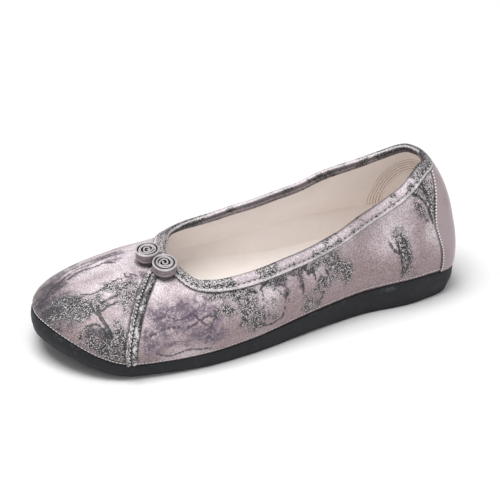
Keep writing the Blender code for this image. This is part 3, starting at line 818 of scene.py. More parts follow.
def contours(graph, scale, width, where):
    """Wandering thin lines, as a brush leaves for ridges and mist."""
    field = graph.noise(scale, 4.0, 0.55, where)
    return graph.between((field - 0.5).math("ABSOLUTE"), width, width * 0.3)


def satin_ground(graph, colours):
    """Unprinted cloth: drifting light and shade with a fine mottled grain."""
    drift = graph.between(graph.noise(30.0, 4.0, 0.6), 0.27, 0.73)
    warm = graph.between(graph.noise(17.0, 2.0), 0.47, 0.68) * 0.7
    ground = graph.layered(colours.cloth_light, (colours.cloth_shade, drift), (colours.cloth_warm, warm))
    return graph.bright(ground, graph.between(graph.noise(260.0, 3.0, 0.6), 0.3, 0.7, 0.93, 1.07))


def grained(graph, ground):
    """The ground with its fine grain of light and dark, and the grain itself."""
    grain = graph.noise(1500.0, 1.0, 0.6)
    return graph.bright(ground, graph.between(grain, 0.32, 0.68, 0.64, 1.30)), grain


def woven(graph, grain, distance):
    return graph.bump(grain * 0.6 + graph.noise(3200.0, 1.0) * 0.4, distance, 0.9)


def edged(graph, colour, colours, edge, worn):
    """The colour lightened towards an edge colour where the piece is marked light, and darkened into painted
    shade where it is marked dark, in folds, grooves and gaps.
    """
    light = graph.attribute("light")
    return graph.layered(colour, (edge, light.at_least(0.0) * worn),
                         (colours.gap, (light * -1.0).at_least(0.0)))


def printed_cloth(colours):
    graph = Graph("printed_cloth", Sheen_Weight=0.15, Sheen_Roughness=0.35, Specular_IOR_Level=0.4)
    streaks = graph.stretched((0.7, 0.9, 1.2))
    torn = graph.noise(620.0, 2.0, 0.6)
    fine = graph.noise(1500.0, 1.0, 0.6)
    edge = (graph.noise(140.0, 4.0, 0.65, streaks) - 0.5) * 0.020 + (torn - 0.5) * 0.006

    def inked(layer, ragged, dry, full):
        """Mask of one kind of ink, or of the painted highlight, whose strokes end raggedly between dry and
        full.
        """
        return graph.between(graph.attribute(layer) + ragged, dry, full)

    low = graph.between(graph.height(), 0.042, 0.012) * graph.between(graph.noise(24.0, 2.0), 0.25, 0.55)
    # Painted highlight: the light strokes lighten the cloth where the light falls brightest
    pale = inked("pale", edge * 0.6, 0.006, -0.005)
    rosy = inked("warm", edge * 0.5, 0.008, -0.007)
    ground = graph.layered(satin_ground(graph, colours), (colours.cloth_warm, low),
                           (colours.cloth_painted_highlight, pale * 0.6), (colours.cloth_warm, rosy * 0.85))
    ground, grain = grained(graph, ground)

    mist = contours(graph, 48.0, 0.012, streaks) * graph.between(graph.noise(21.0, 2.0), 0.46, 0.58)
    mist = mist * graph.between(torn, 0.35, 0.6)
    wash = inked("wash", edge * 0.8, 0.0022, -0.0020)
    body = graph.between(graph.noise(560.0, 3.0, 0.75, streaks), 0.38, 0.56, 0.25, 1.0)
    veins = contours(graph, 170.0, 0.034, streaks) * wash
    flecks = graph.between(fine, 0.50, 0.40) * wash
    twig = inked("twig", (torn - 0.5) * 0.0026, 0.0005, -0.0001)
    smudge = inked("smudge", edge, 0.006, -0.006)
    heavy = graph.between(graph.noise(300.0, 3.0, 0.7), 0.36, 0.60, 0.55, 1.0)
    clumps = graph.between(graph.noise(240.0, 2.0, 0.6), 0.36, 0.52, 0.45, 1.0)
    leaf = inked("leaf", edge * 0.75, 0.0034, -0.0012) * clumps
    colour = graph.layered(
        ground, (colours.wash, mist * 0.4), (colours.wash, wash * body),
        (colours.wash_deep, veins.at_least(flecks * 0.7) * 0.75),
        (colours.wash_deep, twig * graph.between(fine, 0.2, 0.5, 0.3, 0.95)),
        (colours.smudge, smudge * heavy * 0.95),
        (colours.ink, smudge * graph.between(fine, 0.54, 0.40) * 0.7), (colours.smudge, leaf * 0.35))

    hill = inked("hill", edge * 0.35, 0.0012, -0.0008)
    ink = inked("ink", (torn - 0.5) * 0.0022, 0.00045, -0.00005)
    # Painted shade: narrow dark lines on the cloth beside the tapes, the strip, the heel cover and the
    # buttons
    shade = graph.between(graph.attribute("shade"), 0.0011, 0.0002)
    colour = graph.layered(
        speckled(graph, colour, colours, leaf), (colours.smudge, hill * 0.62),
        (colours.ink, hill * graph.between(fine, 0.53, 0.45) * 0.9),
        (colours.ink, ink * graph.between(fine, 0.2, 0.55, 0.2, 0.95)), (colours.gap, shade * 0.62))
    return graph.finish(Base_Color=colour, Roughness=graph.between(grain, 0.2, 0.8, 0.42, 0.58),
                        Normal=woven(graph, grain, 0.00020))


def printed_tape(name, colours, dark, blobs=0.0):
    """Cloth of the tapes: patches of ink on mauve, with light folded edges that are partly worn and partly
    painted highlight, and painted shade in their folds.
    """
    graph = Graph(name, Sheen_Weight=0.12, Sheen_Roughness=0.35, Specular_IOR_Level=0.4)
    ground, grain = grained(graph, satin_ground(graph, colours))
    marked = graph.attribute("inked")
    inked = graph.between(graph.noise(120.0, 3.0, 0.6) - marked, dark + 0.04, dark - 0.04)
    heavy = graph.between(marked, 0.14, 0.32, 0.0, 0.9)
    deep = (graph.between(graph.noise(56.0, 2.0), 0.47, 0.60) * inked).at_least(heavy)
    colour = graph.mix(ground, colours.smudge, deep * 0.7)
    colour = speckled(graph, colour, colours, inked, 0.7 - heavy * 0.5)
    if blobs:
        spots = graph.noise(330.0, 2.0)
        colour = graph.layered(colour, (colours.gap, graph.between(spots, 0.46, 0.38) * blobs),
                               (colours.thread, graph.between(spots, 0.55, 0.62) * blobs))
    colour = edged(graph, colour, colours, colours.thread, graph.between(grain, 0.3, 0.6, 0.6, 0.95))
    return graph.finish(Base_Color=colour, Roughness=graph.between(grain, 0.2, 0.8, 0.46, 0.6),
                        Normal=woven(graph, grain, 0.00012))


def plain_satin(colours):
    graph = Graph("plain_satin", Sheen_Weight=0.2, Sheen_Roughness=0.3, Specular_IOR_Level=0.5)
    grain = graph.noise(1700.0, 1.0, 0.55)
    drift = graph.between(graph.noise(30.0, 3.0), 0.4, 0.6, 0.3, 0.8)
    colour = graph.mix(colours.cloth_shade, colours.cloth_warm, drift)
    colour = graph.bright(colour, graph.between(grain, 0.3, 0.7, 0.88, 1.06))
    return graph.finish(Base_Color=colour, Roughness=graph.between(grain, 0.2, 0.8, 0.34, 0.44),
                        Normal=woven(graph, grain, 0.00004))


def lining_cloth(colours):
    graph = Graph("lining_cloth", Sheen_Weight=0.1, Sheen_Roughness=0.5, Specular_IOR_Level=0.25)
    grain = graph.noise(1800.0, 2.0, 0.6)
    soil = graph.between(graph.noise(36.0, 3.0), 0.45, 0.75) * 0.4
    rings = graph.attribute("grip")
    band = graph.between(rings, 0.0, 0.0006) * graph.between(rings, GRIP_BAND, GRIP_BAND - 0.0006)
    stitch = graph.between((rings * (2 * math.pi / GRIP_PITCH)).math("SINE"), 0.1, 0.8) * band
    broken = graph.between(graph.noise(800.0, 1.0), 0.32, 0.46, 0.35, 1.0)
    colour = graph.layered(
        colours.lining, (colours.lining_shade, soil),
        (colours.sock, graph.between(graph.attribute("trodden"), 0.0, 1.0)),
        (colours.grip_thread, stitch * broken * 0.7))
    colour = graph.bright(colour, graph.between(grain, 0.2, 0.8, 0.96, 1.04))
    return graph.finish(Base_Color=colour, Roughness=0.78,
                        Normal=graph.bump(grain * 0.4 + stitch * 1.5, 0.00012, 0.8))


def black_rubber(colours):
    graph = Graph("black_rubber", Specular_IOR_Level=0.3)
    scuff = graph.noise(130.0, 4.0, 0.7)
    worn = graph.between(scuff, 0.56, 0.72) * graph.between(graph.height(), 0.006, 0.015)
    dust = graph.between(graph.noise(800.0, 2.0), 0.62, 0.74)
    colour = graph.layered(colours.rubber, (colours.rubber_worn, worn * 0.5),
                           (colours.rubber_worn, dust * 0.25))
    return graph.finish(Base_Color=colour, Roughness=graph.between(scuff, 0.3, 0.7, 0.55, 0.68),
                        Normal=graph.bump(graph.noise(900.0, 3.0, 0.6), 0.00008, 0.6))


def twisted_thread(colours):
    graph = Graph("twisted_thread", Sheen_Weight=0.15, Sheen_Roughness=0.4)
    fibre = graph.noise(2600.0, 2.0, 0.6)
    colour = graph.bright(colours.thread, graph.between(fibre, 0.2, 0.8, 0.8, 1.1))
    return graph.finish(Base_Color=colour, Roughness=0.5, Normal=graph.bump(fibre, 0.00008, 0.8))


def rolled_ribbon(colours):
    graph = Graph("rolled_ribbon", Sheen_Weight=0.15, Sheen_Roughness=0.35)
    grain = graph.noise(1700.0, 1.0, 0.55)
    streaks = graph.noise(480.0, 3.0, 0.65, graph.stretched((0.8, 0.8, 2.2)))
    colour = graph.layered(colours.ribbon, (colours.cloth_shade, graph.between(streaks, 0.45, 0.75) * 0.7),
                           (colours.smudge, graph.between(streaks, 0.42, 0.30) * 0.7))
    colour = graph.bright(colour, graph.between(grain, 0.30, 0.70, 0.78, 1.20))
    # Light cut edges of the ribbon, and painted shade between the turns and at the foot
    colour = edged(graph, colour, colours, colours.ribbon_edge, graph.between(grain, 0.25, 0.6, 0.75, 1.0))
    return graph.finish(Base_Color=colour, Roughness=0.5, Normal=woven(graph, grain, 0.00014))


FINISHES = {
    "printed_cloth": printed_cloth,
    "collar_tape": lambda colours: printed_tape("collar_tape", colours, 0.50),
    "throat_tape": lambda colours: printed_tape("throat_tape", colours, 0.85),
    "strip_tape": lambda colours: printed_tape("strip_tape", colours, 0.66, 0.62),
    "plain_satin": plain_satin,
    "lining_cloth": lining_cloth,
    "black_rubber": black_rubber,
    "twisted_thread": twisted_thread,
    "rolled_ribbon": rolled_ribbon,
}


def finish_of(name):
    return bpy.data.materials.get(name) or FINISHES[name](bpy.context.scene.shoe_colours)


def cloth_top(turns):
    """Angle at which the cloth ends: at the collar, or at the ridge over the vamp."""
    return np.where(share_of(wrapped(turns)) < THROAT - 1e-6, collar_angle(turns), TOP_ANGLE)


def cloth_turn(share):
    """Places of the cloth's columns, closer together at the throat's corners."""
    around = 2 * share - 1
    past = np.clip((np.abs(around) - float(turn_of(CORNER_AT))) / CORNER_REACH, -1, 1)
    return around - CORNER_PULL * np.sin(past * np.pi) * np.sign(around)


def trough_depth(points):
    depth = np.zeros(len(points))
    for trough in TROUGHS:
        away = distance_to(points, route_points(trough.side, trough.route, 0.004))
        depth += trough.depth * np.exp(-(away / trough.width) ** 2)
    return depth


def cloth_place(around, up, lift):
    """Point of the upper's skin at a lift over the last; the foot goes down into the sole's rim."""
    turns = cloth_turn(around)
    angles = cloth_top(turns) * up
    points = lifted(turns, angles, lift)
    normal = directions(turns, angles)[2]
    points -= normal * trough_depth(last(turns, angles))[:, None]
    x, y, _, _ = feather(turns)
    rise = points[:, 2] - feather_z(x)
    drift = PUCKER_DRIFT * np.sin(x * PUCKER_DRIFT_RATE)
    wave = np.sin(2 * np.pi * (x + PUCKER_SLANT * y) / PUCKER_PITCH + drift)
    fade = np.exp(-rise / PUCKER_RISE) * np.clip(rise / PUCKER_START, 0, 1)
    points -= normal * (PUCKER_DEPTH * wave * fade)[:, None]
    bottom = up < 1e-6
    points[bottom, 2] = seat_z(points[bottom, 0]) + GAP
    return points


def points_of(piece):
    """Vertices of a piece in the last's own frame."""
    points = np.empty(len(piece.data.vertices) * 3, np.float32)
    piece.data.vertices.foreach_get("co", points)
    return points.reshape(-1, 3) - SHIFT


def store_field(piece, name, values):
    store = piece.data.attributes.new(name, "FLOAT", "POINT")
    store.data.foreach_set("value", np.asarray(values, np.float32))


def nearest(points, strokes):
    """Distance of each point to the nearest of some brush strokes, each a line and its width."""
    field = np.full(len(points), FAR_FROM_STROKES)
    for line, width in strokes:
        near = np.abs(points - line.mean(axis=0)).max(axis=1) < run_of(line)[-1] + STROKE_REACH
        field[near] = np.minimum(field[near], distance_to(points[near], line) - width / 2)
    return field


def ink_fields(piece):
    """Store how far each point of the cloth lies from each kind of ink, from the painted highlights and from
    the painted shades.
    """
    points = points_of(piece)
    layers = {"shade": [(line, 0.0) for line in shaded_lines()]}
    for row in PRINT:
        strokes = [(route_points(row.side, route), width / 1000) for width, *route in row.strokes]
        layers.setdefault(row.layer, []).extend(strokes)
    for layer, strokes in layers.items():
        store_field(piece, layer, nearest(points, strokes))


def length_property(name, description, size):
    return bpy.props.FloatProperty(name=name, description=description, default=size, unit="LENGTH")


def colour_property(name, description, code):
    return bpy.props.FloatVectorProperty(name=name, description=description, subtype="COLOR",
                                         size=3, min=0.0, max=1.0, default=linear(code))


class Sizes(bpy.types.PropertyGroup):
    """Sizes of what is sewn on and into the shoe."""
    cloth: length_property("Cloth", "Thickness of the printed cloth", 0.0009)
    lining: length_property("Lining", "Thickness of the lining", 0.0005)
    thread: length_property("Thread", "Thickness of the sewing thread", 0.00050)
    stitch: length_property("Stitch", "Length of a stitch on the tapes", 0.0021)
    twist: length_property("Twist", "Pitch of the twisted seam threads", 0.0017)
    lip: length_property("Lip", "Width of the tapes' lip below the stitches", 0.0021)
    ribbon: length_property("Ribbon", "Thickness of the buttons' ribbon", 0.00086)
    button_depth: length_property("Button depth", "Depth between a button's turns", 0.0022)
    tread_depth: length_property("Tread depth", "Depth of the tread's grooves", 0.0006)


class Colours(bpy.types.PropertyGroup):
    """Colours of the shoe and of its ground."""
    cloth_light: colour_property("Cloth light", "Lightest cloth of the upper", 0xD9CED3)
    cloth_shade: colour_property("Cloth shade", "Darker cloth of the upper", 0xAD9DA1)
    cloth_warm: colour_property("Cloth warm", "Rosy cloth low on the sides", 0x958183)
    # The light colour of the painted highlights on the cloth
    cloth_painted_highlight: colour_property("Cloth pale", "Painted highlights on the cloth", 0xEAE1E4)
    wash: colour_property("Wash", "Thin ink", 0x7A6D79)
    wash_deep: colour_property("Deep wash", "Lines and grains of the thin ink", 0x4E4451)
    smudge: colour_property("Smudge", "Thick soft ink", 0x4A444D)
    ink: colour_property("Ink", "Lines and grains of ink", 0x242628)
    paper: colour_property("Paper", "Light grains between the ink", 0xDAD6D5)
    # The thread colour also lightens the tapes where they are marked light: worn edges and painted highlights
    thread: colour_property("Thread", "Sewing thread and worn edges", 0xE4DFDF)
    ribbon_edge: colour_property("Ribbon edge", "Cut edges of the buttons' ribbon", 0xF3EFEF)
    # Painted shade in folds, grooves, beside the trim and between the ribbon's turns; also the dark spots of
    # the strip's print
    gap: colour_property("Painted shade and spots", "Painted shade of folds and between turns of ribbon, and the strip's dark spots", 0x1A171A)
    ribbon: colour_property("Ribbon", "Rolled ribbon of the buttons", 0x7C7076)
    lining: colour_property("Lining", "Lining of the walls", 0xF8F0EB)
    lining_shade: colour_property("Lining shade", "Worn places of the lining", 0xEADDD4)
    sock: colour_property("Sock", "Sock under the foot", 0xDDD6D1)
    grip_thread: colour_property("Grip thread", "Stitches of the heel grip", 0xA98D76)
    rubber: colour_property("Rubber", "Sole", 0x1C1D21)
    rubber_worn: colour_property("Worn rubber", "Scuffs on the sole", 0x5A5C61)
    floor: colour_property("Floor", "Ground under the shoe", 0xEFEFF0)


def button_place(button):
    """Turn and place of a button: its foot on the cloth, its axis along the cloth's normal."""
    turn, angle = -turn_of([button.at]), np.radians([button.angle])
    up = Vector(directions(turn, angle)[2][0])
    turned = up.to_track_quat("Z", "Y").to_matrix() @ Matrix.Rotation(math.radians(button.turn), 3, "Z")
    return turned, lifted(turn, angle, BUTTON_LIFT)[0]


def shaded_lines():
    """Lines on the cloth where a tape, the strip or the heel cover throws a narrow shade."""
    frames = edge_frames((-CREST_TURN, CREST_TURN), lambda way: way, 0.003)
    lines = [on_edge(frames, BINDING_WIDTH + TAPE_SHADE, 0.0)]
    turns, angles, normal, heelwards = strip_frames()
    for side in (-1, 1):
        places = slid(turns, angles, heelwards * side * (STRIP_WIDTH / 2 + STRIP_SHADE))
        lines.append(last(*places)[::3])
    for side, beside in ((0.0, -HEEL_SHADE), (1.0, HEEL_SHADE)):
        turns, angles = heel_place(side, np.linspace(0.0, 1.0, 40))
        lines.append(last(turns + beside, angles))
    round_way = np.linspace(0.0, 2 * np.pi, 33)
    circle = np.stack([np.cos(round_way), np.sin(round_way), 0 * round_way], -1)
    for button in BUTTONS:
        turned, foot = button_place(button)
        for share in BUTTON_SHADES:
            ring = circle * share * BUTTON_DIAMETER - (0.0, 0.0, BUTTON_LIFT)
            lines.append(ring @ np.array(turned).T + foot)
    return lines


class MakeCloth(bpy.types.Operator):
    """Lay the printed cloth over the last and the lining under it"""
    bl_idname = "cloth_shoe.cloth"
    bl_label = "Cloth and lining"

    def execute(self, context):
        sizes = context.scene.shoe_sizes
        cloth = self.skin("printed_upper", "printed_cloth", CLOTH_GRID, 0.0, ("upper",), "upper")
        ink_fields(cloth)
        walled(cloth, sizes.cloth, -1.0)
        inner = self.skin("lining", "lining_cloth", LINING_GRID, -sizes.cloth - GAP / 2, (), "insole")
        self.grip_field(inner)
        walled(inner, sizes.lining, -1.0)
        return {"FINISHED"}

    def skin(self, name, finish, grid, lift, replaces, slot):
        mesh = bmesh.new()
        laid(mesh, *grid, lambda around, up: cloth_place(around, up, lift))
        bmesh.ops.remove_doubles(mesh, verts=mesh.verts, dist=WELD * 4)
        throat_x = last(CREST_TURN, TOP_ANGLE)[0] + SHIFT[0]
        crest = [v for v in mesh.verts
                 if v.is_boundary and v.co.x < throat_x + WELD and v.co.z > CREST_ABOVE]
        bmesh.ops.remove_doubles(mesh, verts=crest, dist=CREST_WELD)
        return made_piece(mesh, name, finish, 70.0, replaces)

    def grip_field(self, piece):
        """Depth inside the heel grip's outline, an ellipse seen from the side."""
        points = points_of(piece)[:, (0, 2)]
        reach = np.linalg.norm((points - GRIP_CENTRE) / GRIP_RADII, axis=1)
        store_field(piece, "grip", GRIP_RADII[0] * (1 - reach))


class MakeSock(bpy.types.Operator):
    """Lay the sock on the seat"""
    bl_idname = "cloth_shoe.sock"
    bl_label = "Sock"

    def execute(self, context):
        mesh = bmesh.new()
        trodden = mesh.verts.layers.float.new("trodden")
        for v, share in zip(*laid(mesh, *SOCK_GRID, self.place)):
            v[trodden] = min(max((TRODDEN_EDGE - share[1]) / TRODDEN_REACH, 0.0), 1.0)
        bmesh.ops.remove_doubles(mesh, verts=mesh.verts, dist=WELD)
        closed(mesh)
        made_piece(mesh, "sock", "lining_cloth", 60.0, ("insole",))
        return {"FINISHED"}

    def flat(self, turns, reach):
        x, y = outline_ring(turns, -SOCK_INSET)
        middle = (y + outline_ring(-turns, -SOCK_INSET)[1]) / 2
        return np.stack([x, middle + (y - middle) * reach, insole_z(x) + INSOLE_THICKNESS], -1)

    def place(self, around, across):
        """Point of the sock: flat, then curving up the wall; past its rim, the underside."""
        turns = 2 * around - 1
        run = across / SOCK_TOP
        reach = np.minimum(run, 1.0)
        part = np.clip((reach - SOCK_FLAT) / (1 - SOCK_FLAT), 0, 1)[:, None]
        up = math.radians(SOCK_TURN_UP)
        wall = lifted(turns, up, -SOCK_DEPTH - trough_depth(last(turns, up)))
        climb = directions(turns, up)[1]
        fall = (wall[:, 2] - insole_z(wall[:, 0]) - INSOLE_THICKNESS) / climb[:, 2]
        corner = wall - climb * fall[:, None]
        start = self.flat(turns, np.minimum(reach, SOCK_FLAT))
        points = (1 - part) ** 2 * start + 2 * part * (1 - part) * corner + part ** 2 * wall
        drop = (np.clip(run - 1, 0, 1) / (1 / SOCK_TOP - 1))[:, None]
        return points + drop * (self.flat(turns, 1.0) - (0.0, 0.0, INSOLE_THICKNESS) - points)


class MakeSole(bpy.types.Operator):
    """Sweep the rubber sole's section round the feather line"""
    bl_idname = "cloth_shoe.sole"
    bl_label = "Rubber sole"

    def execute(self, context):
        sizes = context.scene.shoe_sizes
        turns = np.linspace(-1, 1, SOLE_COLUMNS + 1)[:-1]
        taper = SOLE_HEIGHT * column(TREAD_TAPER, share_of(turns))
        middle = sum(outline_ring(side * turns, 0.0)[1] for side in (-1, 1)) / 2

        def ring(offset, height, reach=1.0):
            x, y = outline_ring(turns, offset)
            y = middle + (y - middle) * reach
            return np.stack([x, y, height(x)], -1)

        def grooved(x):
            wave = np.abs((x / TREAD_PITCH) % 1.0 - 0.5) * 2
            return tread_z(x) + sizes.tread_depth * np.clip((wave - TREAD_LAND) / TREAD_SLOPE, 0, 1)

        lip = table("out drop", (-LIP_IN, 0.35), (-0.6 * LIP_IN, 0.08), (0.2 * LIP_OUT, 0.0),
                    (0.8 * LIP_OUT, 0.10), (LIP_OUT, 0.30))
        flank = table("up taper out", (0.80, 0.05, 1.25), (0.66, 0.12, 1.5), (0.50, 0.30, 1.5),
                      (0.34, 0.60, 1.2), (0.22, 0.85, 0.6))
        edge = table("inwards rise", (0.0, 1.5), (0.15, 0.7), (0.45, 0.2), (1.0, 0.0), (4.0, 0.0))
        rings = [ring(-LIP_IN, seat_z, reach) for reach in np.linspace(0.0, 1.0, 4)]
        rings += [ring(row.out, lambda x: feather_z(x) - row.drop * LIP_HEIGHT) for row in lip]
        rings += [ring(row.out * LIP_OUT - taper * row.taper,
                       lambda x: tread_z(x) + (feather_z(x) - tread_z(x)) * row.up) for row in flank]
        rings += [ring(-taper - row.inwards * TREAD_CHAMFER, lambda x: tread_z(x) + row.rise * TREAD_CHAMFER)
                  for row in edge]
        rings += [ring(-taper - GROOVE_INSET, grooved, reach)
                  for reach in (1.0, *np.linspace(0.9, 0.0, 10))]
        rings = np.array(rings) + SHIFT
        mesh = bmesh.new()
        rows = len(rings) - 1
        made = bmesh.ops.create_grid(mesh, x_segments=SOLE_COLUMNS, y_segments=rows, size=0.5)["verts"]
        for v in made:
            i = round((v.co.x + 0.5) * SOLE_COLUMNS) % SOLE_COLUMNS
            v.co = rings[round((v.co.y + 0.5) * rows), i]
        bmesh.ops.remove_doubles(mesh, verts=mesh.verts, dist=WELD)
        middle_seams = [v for v in mesh.verts if v.is_boundary]
        bmesh.ops.remove_doubles(mesh, verts=middle_seams, dist=SOLE_MIDDLE_WELD)
        made_piece(mesh, "unit_sole", "black_rubber", 40.0, ("outsole",))
        return {"FINISHED"}


def through_places(rows, turns):
    """Value at each place round the shoe, from rows of signed place and value."""
    turns = wrapped(turns)
    signed = np.sign(turns) * share_of(turns)
    return np.interp(signed, [row.place for row in rows], [row.value for row in rows])


def throat_turn(way):
    """Place round the shoe for a way that crosses the throat from the inner to the outer side."""
    return np.where(way < CREST_TURN, way, way - 2 * CREST_TURN)


Frames = namedtuple("Frames", "turns angles points normal down")


def edge_frames(ways, turn_at, step=TAPE_STEP):
    """Evenly spaced places along the collar's edge, with their angles, points and directions."""
    dense = np.linspace(ways[0], ways[1], 4000)
    run = run_of(last(turn_at(dense), collar_angle(turn_at(dense))))
    even = np.linspace(0, run[-1], int(run[-1] / step) + 1)
    turns = turn_at(np.interp(even, run, dense))
    angles = collar_angle(turns)
    points = last(turns, angles)
    normal = directions(turns, angles)[2]
    ahead = unit(np.gradient(points, axis=0))
    return Frames(turns, angles, points, normal, unit(np.cross(ahead, normal)))


def on_edge(frames, below, lift):
    """Points at a distance below the collar's edge and a lift over the last."""
    if below <= 0:
        return frames.points + frames.down * below + frames.normal * lift
    return lifted(*slid(frames.turns, frames.angles, frames.down * below), lift)


class MakeTapes(bpy.types.Operator):
    """Fold the tapes over the collar's and the throat's edge and sew them on"""
    bl_idname = "cloth_shoe.tapes"
    bl_label = "Tapes"

    def execute(self, context):
        outer = -float(turn_of(FRONT_BINDING_OUTER))
        inner = float(turn_of(FRONT_BINDING_INNER))
        collar = edge_frames((outer, inner), lambda way: way)
        throat = edge_frames((inner + 0.001, outer + 2 * CREST_TURN - 0.001), throat_turn)
        self.tape("collar_tape", collar, ("collar_binding",), context.scene.shoe_sizes)
        self.tape("throat_tape", throat, ("vamp_binding",), context.scene.shoe_sizes)
        return {"FINISHED"}

    def tape(self, name, frames, replaces, sizes):
        near, far = BINDING_LIFT, BINDING_LIFT + BINDING_THICKNESS
        crown = far + 0.0003
        channel = BINDING_WIDTH - sizes.lip
        inside, inner = BINDING_INSIDE, -WALL - far
        # Light of the section's places: minus paints shade in the folds and grooves, under the lip and on the
        # far side's inner flank; plus lightens the crown, the lip and the far side's fold, as worn edges and
        # painted highlights
        sides = ((-0.8, 0.8), (-0.3, -0.2), (0.0, -0.8), (0.0, -0.35))
        fold, beside, groove, within = (np.where(frames.turns < 0, *pair) for pair in sides)
        section = table(
            "below lift light", (BINDING_WIDTH, near, -0.9), (0.5 * BINDING_WIDTH, near, 0), (0.0, near, 0),
            (-near, -0.5 * WALL, 0), (0.0, -WALL - near, 0), (inside, -WALL - near, -0.8),
            (inside + 0.0001, inner + 0.0002, -0.6), (inside - 0.0003, inner, -0.4),
            (inside - 0.0010, inner + 0.0001, -0.75), (0.4 * inside, inner - 0.0001, within),
            (0.0, inner, groove), (-0.8 * far, -WALL - 0.4 * far, groove), (-1.0 * far, -0.5 * WALL, fold),
            (-0.75 * far, 0.35 * far, beside), (0.0, far, 0.1), (0.35 * channel, crown, 0.15),
            (0.7 * channel, crown, 0), (channel - 0.0006, far + 0.0001, -0.15),
            (channel - 0.0001, far - 0.0004, -0.95), (channel + 0.0003, far - 0.0001, -0.3),
            (channel + 0.0008, far + 0.0002, 0.6), (BINDING_WIDTH - 0.0005, far + 0.0002, 0.65),
            (BINDING_WIDTH, far - 0.0001, 0.2), (BINDING_WIDTH + 0.0001, far - 0.0004, -0.8))
        rings = np.stack([on_edge(frames, edge.below, edge.lift) for edge in section], axis=1)
        light = np.stack([edge.light + 0 * fold for edge in section], axis=1)
        mesh = swept(rings, light, through_places(TAPE_INK, frames.turns))
        made_piece(mesh, name, name, 60.0, replaces)
        seam = on_edge(frames, channel, far - 0.0002)
        sewn_piece(name + "_thread", "binding",
                   (seam, frames.normal, sizes.stitch * 1.45, sizes.stitch, sizes.thread))


def strip_frames():
    """Even places along the strip's middle, with the way out of and across the cloth."""
    turns = -turn_of(through([place.at for place in STRIP_ROUTE], STRIP_STEPS))
    angles = np.radians(through([place.angle for place in STRIP_ROUTE], STRIP_STEPS))
    run = run_of(last(turns, angles))
    even = np.linspace(0, run[-1], STRIP_STEPS)
    turns, angles = np.interp(even, run, turns), np.interp(even, run, angles)
    normal = directions(turns, angles)[2]
    return turns, angles, normal, np.cross(normal, unit(np.gradient(last(turns, angles), axis=0)))


class MakeStrip(bpy.types.Operator):
    """Sweep the piped strip from the throat to the sole"""
    bl_idname = "cloth_shoe.strip"
    bl_label = "Piped strip"

    def execute(self, context):
        sizes = context.scene.shoe_sizes
        turns, angles, normal, heelwards = strip_frames()
        half, piping = STRIP_WIDTH / 2, PIPING_HEIGHT
        base, top = BINDING_LIFT - 0.0003, BINDING_LIFT + STRIP_THICKNESS
        crest = BINDING_LIFT + piping
        # Light of the section's places: minus paints shade at the strip's edges and in the groove beside the
        # piping; plus lightens the piping's crests
        section = table(
            "across lift light", (-half, base, -0.8), (0.0, base, 0), (half, base, -1.0),
            (half + 0.0001, top - 0.0003, -0.9), (half - 0.0003, top, -0.4), (half - 0.0009, top + 0.0004, 0),
            (0.0015, top + 0.0006, 0.1), (0.0006, top + 0.0004, 0), (0.0001, top, -0.6),
            (-0.0003, top - 0.0003, -1.0), (-0.0008, top - 0.0003, -1.0), (-0.0011, top, -0.6),
            (-0.0014, crest - 0.0001, 0.45), (-0.0019, crest + 0.0001, -0.1),
            (-0.0024, crest - 0.0001, 0.35), (-0.0028, crest - 0.0004, -0.1),
            (0.1 * piping - half, base + 0.6 * piping, -0.6))

        def line(across, lift):
            return lifted(*slid(turns, angles, heelwards * across), lift)

        rings = np.stack([line(edge.across, edge.lift) for edge in section], axis=1)
        mesh = swept(rings, [edge.light for edge in section], 0.05)
        made_piece(mesh, "diagonal_strip", "strip_tape", 60.0, ("vamp_strip",))
        sewn_piece("diagonal_strip_thread", "strip",
                   (line(-0.0009, top), normal, sizes.stitch * 1.1, sizes.stitch * 0.7,
                    sizes.thread * 1.2, 12.0))
        return {"FINISHED"}


def binding_foot(turns):
    """Angle just under the outer band of the collar's tape, on ribs near the heel."""
    near = np.linspace(-HEEL_REACH, HEEL_REACH, 161)
    frames = edge_frames((-HEEL_REACH, HEEL_REACH), lambda way: way)
    down = along(near, frames.turns, frames.down)
    return np.interp(turns, *slid(near, collar_angle(near), down * (BINDING_WIDTH + GAP)))


def heel_place(around, up):
    """Place on the heel's back cover, from seam to seam and from the sole to the tape."""
    turns = (2 * around - 1) * turn_of(column(HEEL_SEAM, up, "at", "up"))
    low = 2 * GAP / LAST_HEIGHT
    return turns, low + (binding_foot(turns) - low) * up


class MakeHeel(bpy.types.Operator):
    """Lay the heel's back cover and the twisted threads of its seams"""
    bl_idname = "cloth_shoe.heel"
    bl_label = "Heel cover"

    def execute(self, context):
        sizes = context.scene.shoe_sizes

        def place(around, up):
            edge = np.abs(2 * around - 1)
            return lifted(*heel_place(around, up), BINDING_LIFT - 0.0003 + 0.0002 * (1 - edge ** 8))

        mesh = bmesh.new()
        laid(mesh, *HEEL_GRID, place)
        cover = made_piece(mesh, "heel_cover", "plain_satin", 70.0, ("heel_piece",))
        walled(cover, HEEL_PIECE_THICKNESS, 1.0)
        seams = []
        for side, tilt in ((0.0, -40.0), (1.0, 40.0)):
            seam = heel_place(side, np.linspace(0.0, 1.0, 120))
            seams.append((lifted(*seam, BINDING_LIFT + 0.0003), directions(*seam)[2], sizes.twist,
                          sizes.twist * 0.75, sizes.thread * 1.7, tilt))
        sewn_piece("heel_cover_thread", "heel_piece", *seams)
        return {"FINISHED"}


class MakeFeatherSeam(bpy.types.Operator):
    """Sew the line of thread where the cloth goes down behind the sole's rim"""
    bl_idname = "cloth_shoe.feather_seam"
    bl_label = "Feather seam"

    def execute(self, context):
        turns = np.linspace(-1, 1, 1500)
        angles = slid(turns, 0.02, np.array([0.0, 0.0, FEATHER_RISE]))[1]
        sewn_piece("feather_thread", "upper",
                   (lifted(turns, angles, 0.0001), directions(turns, angles)[2], FEATHER_PITCH,
                    FEATHER_STITCH, context.scene.shoe_sizes.thread))
        return {"FINISHED"}


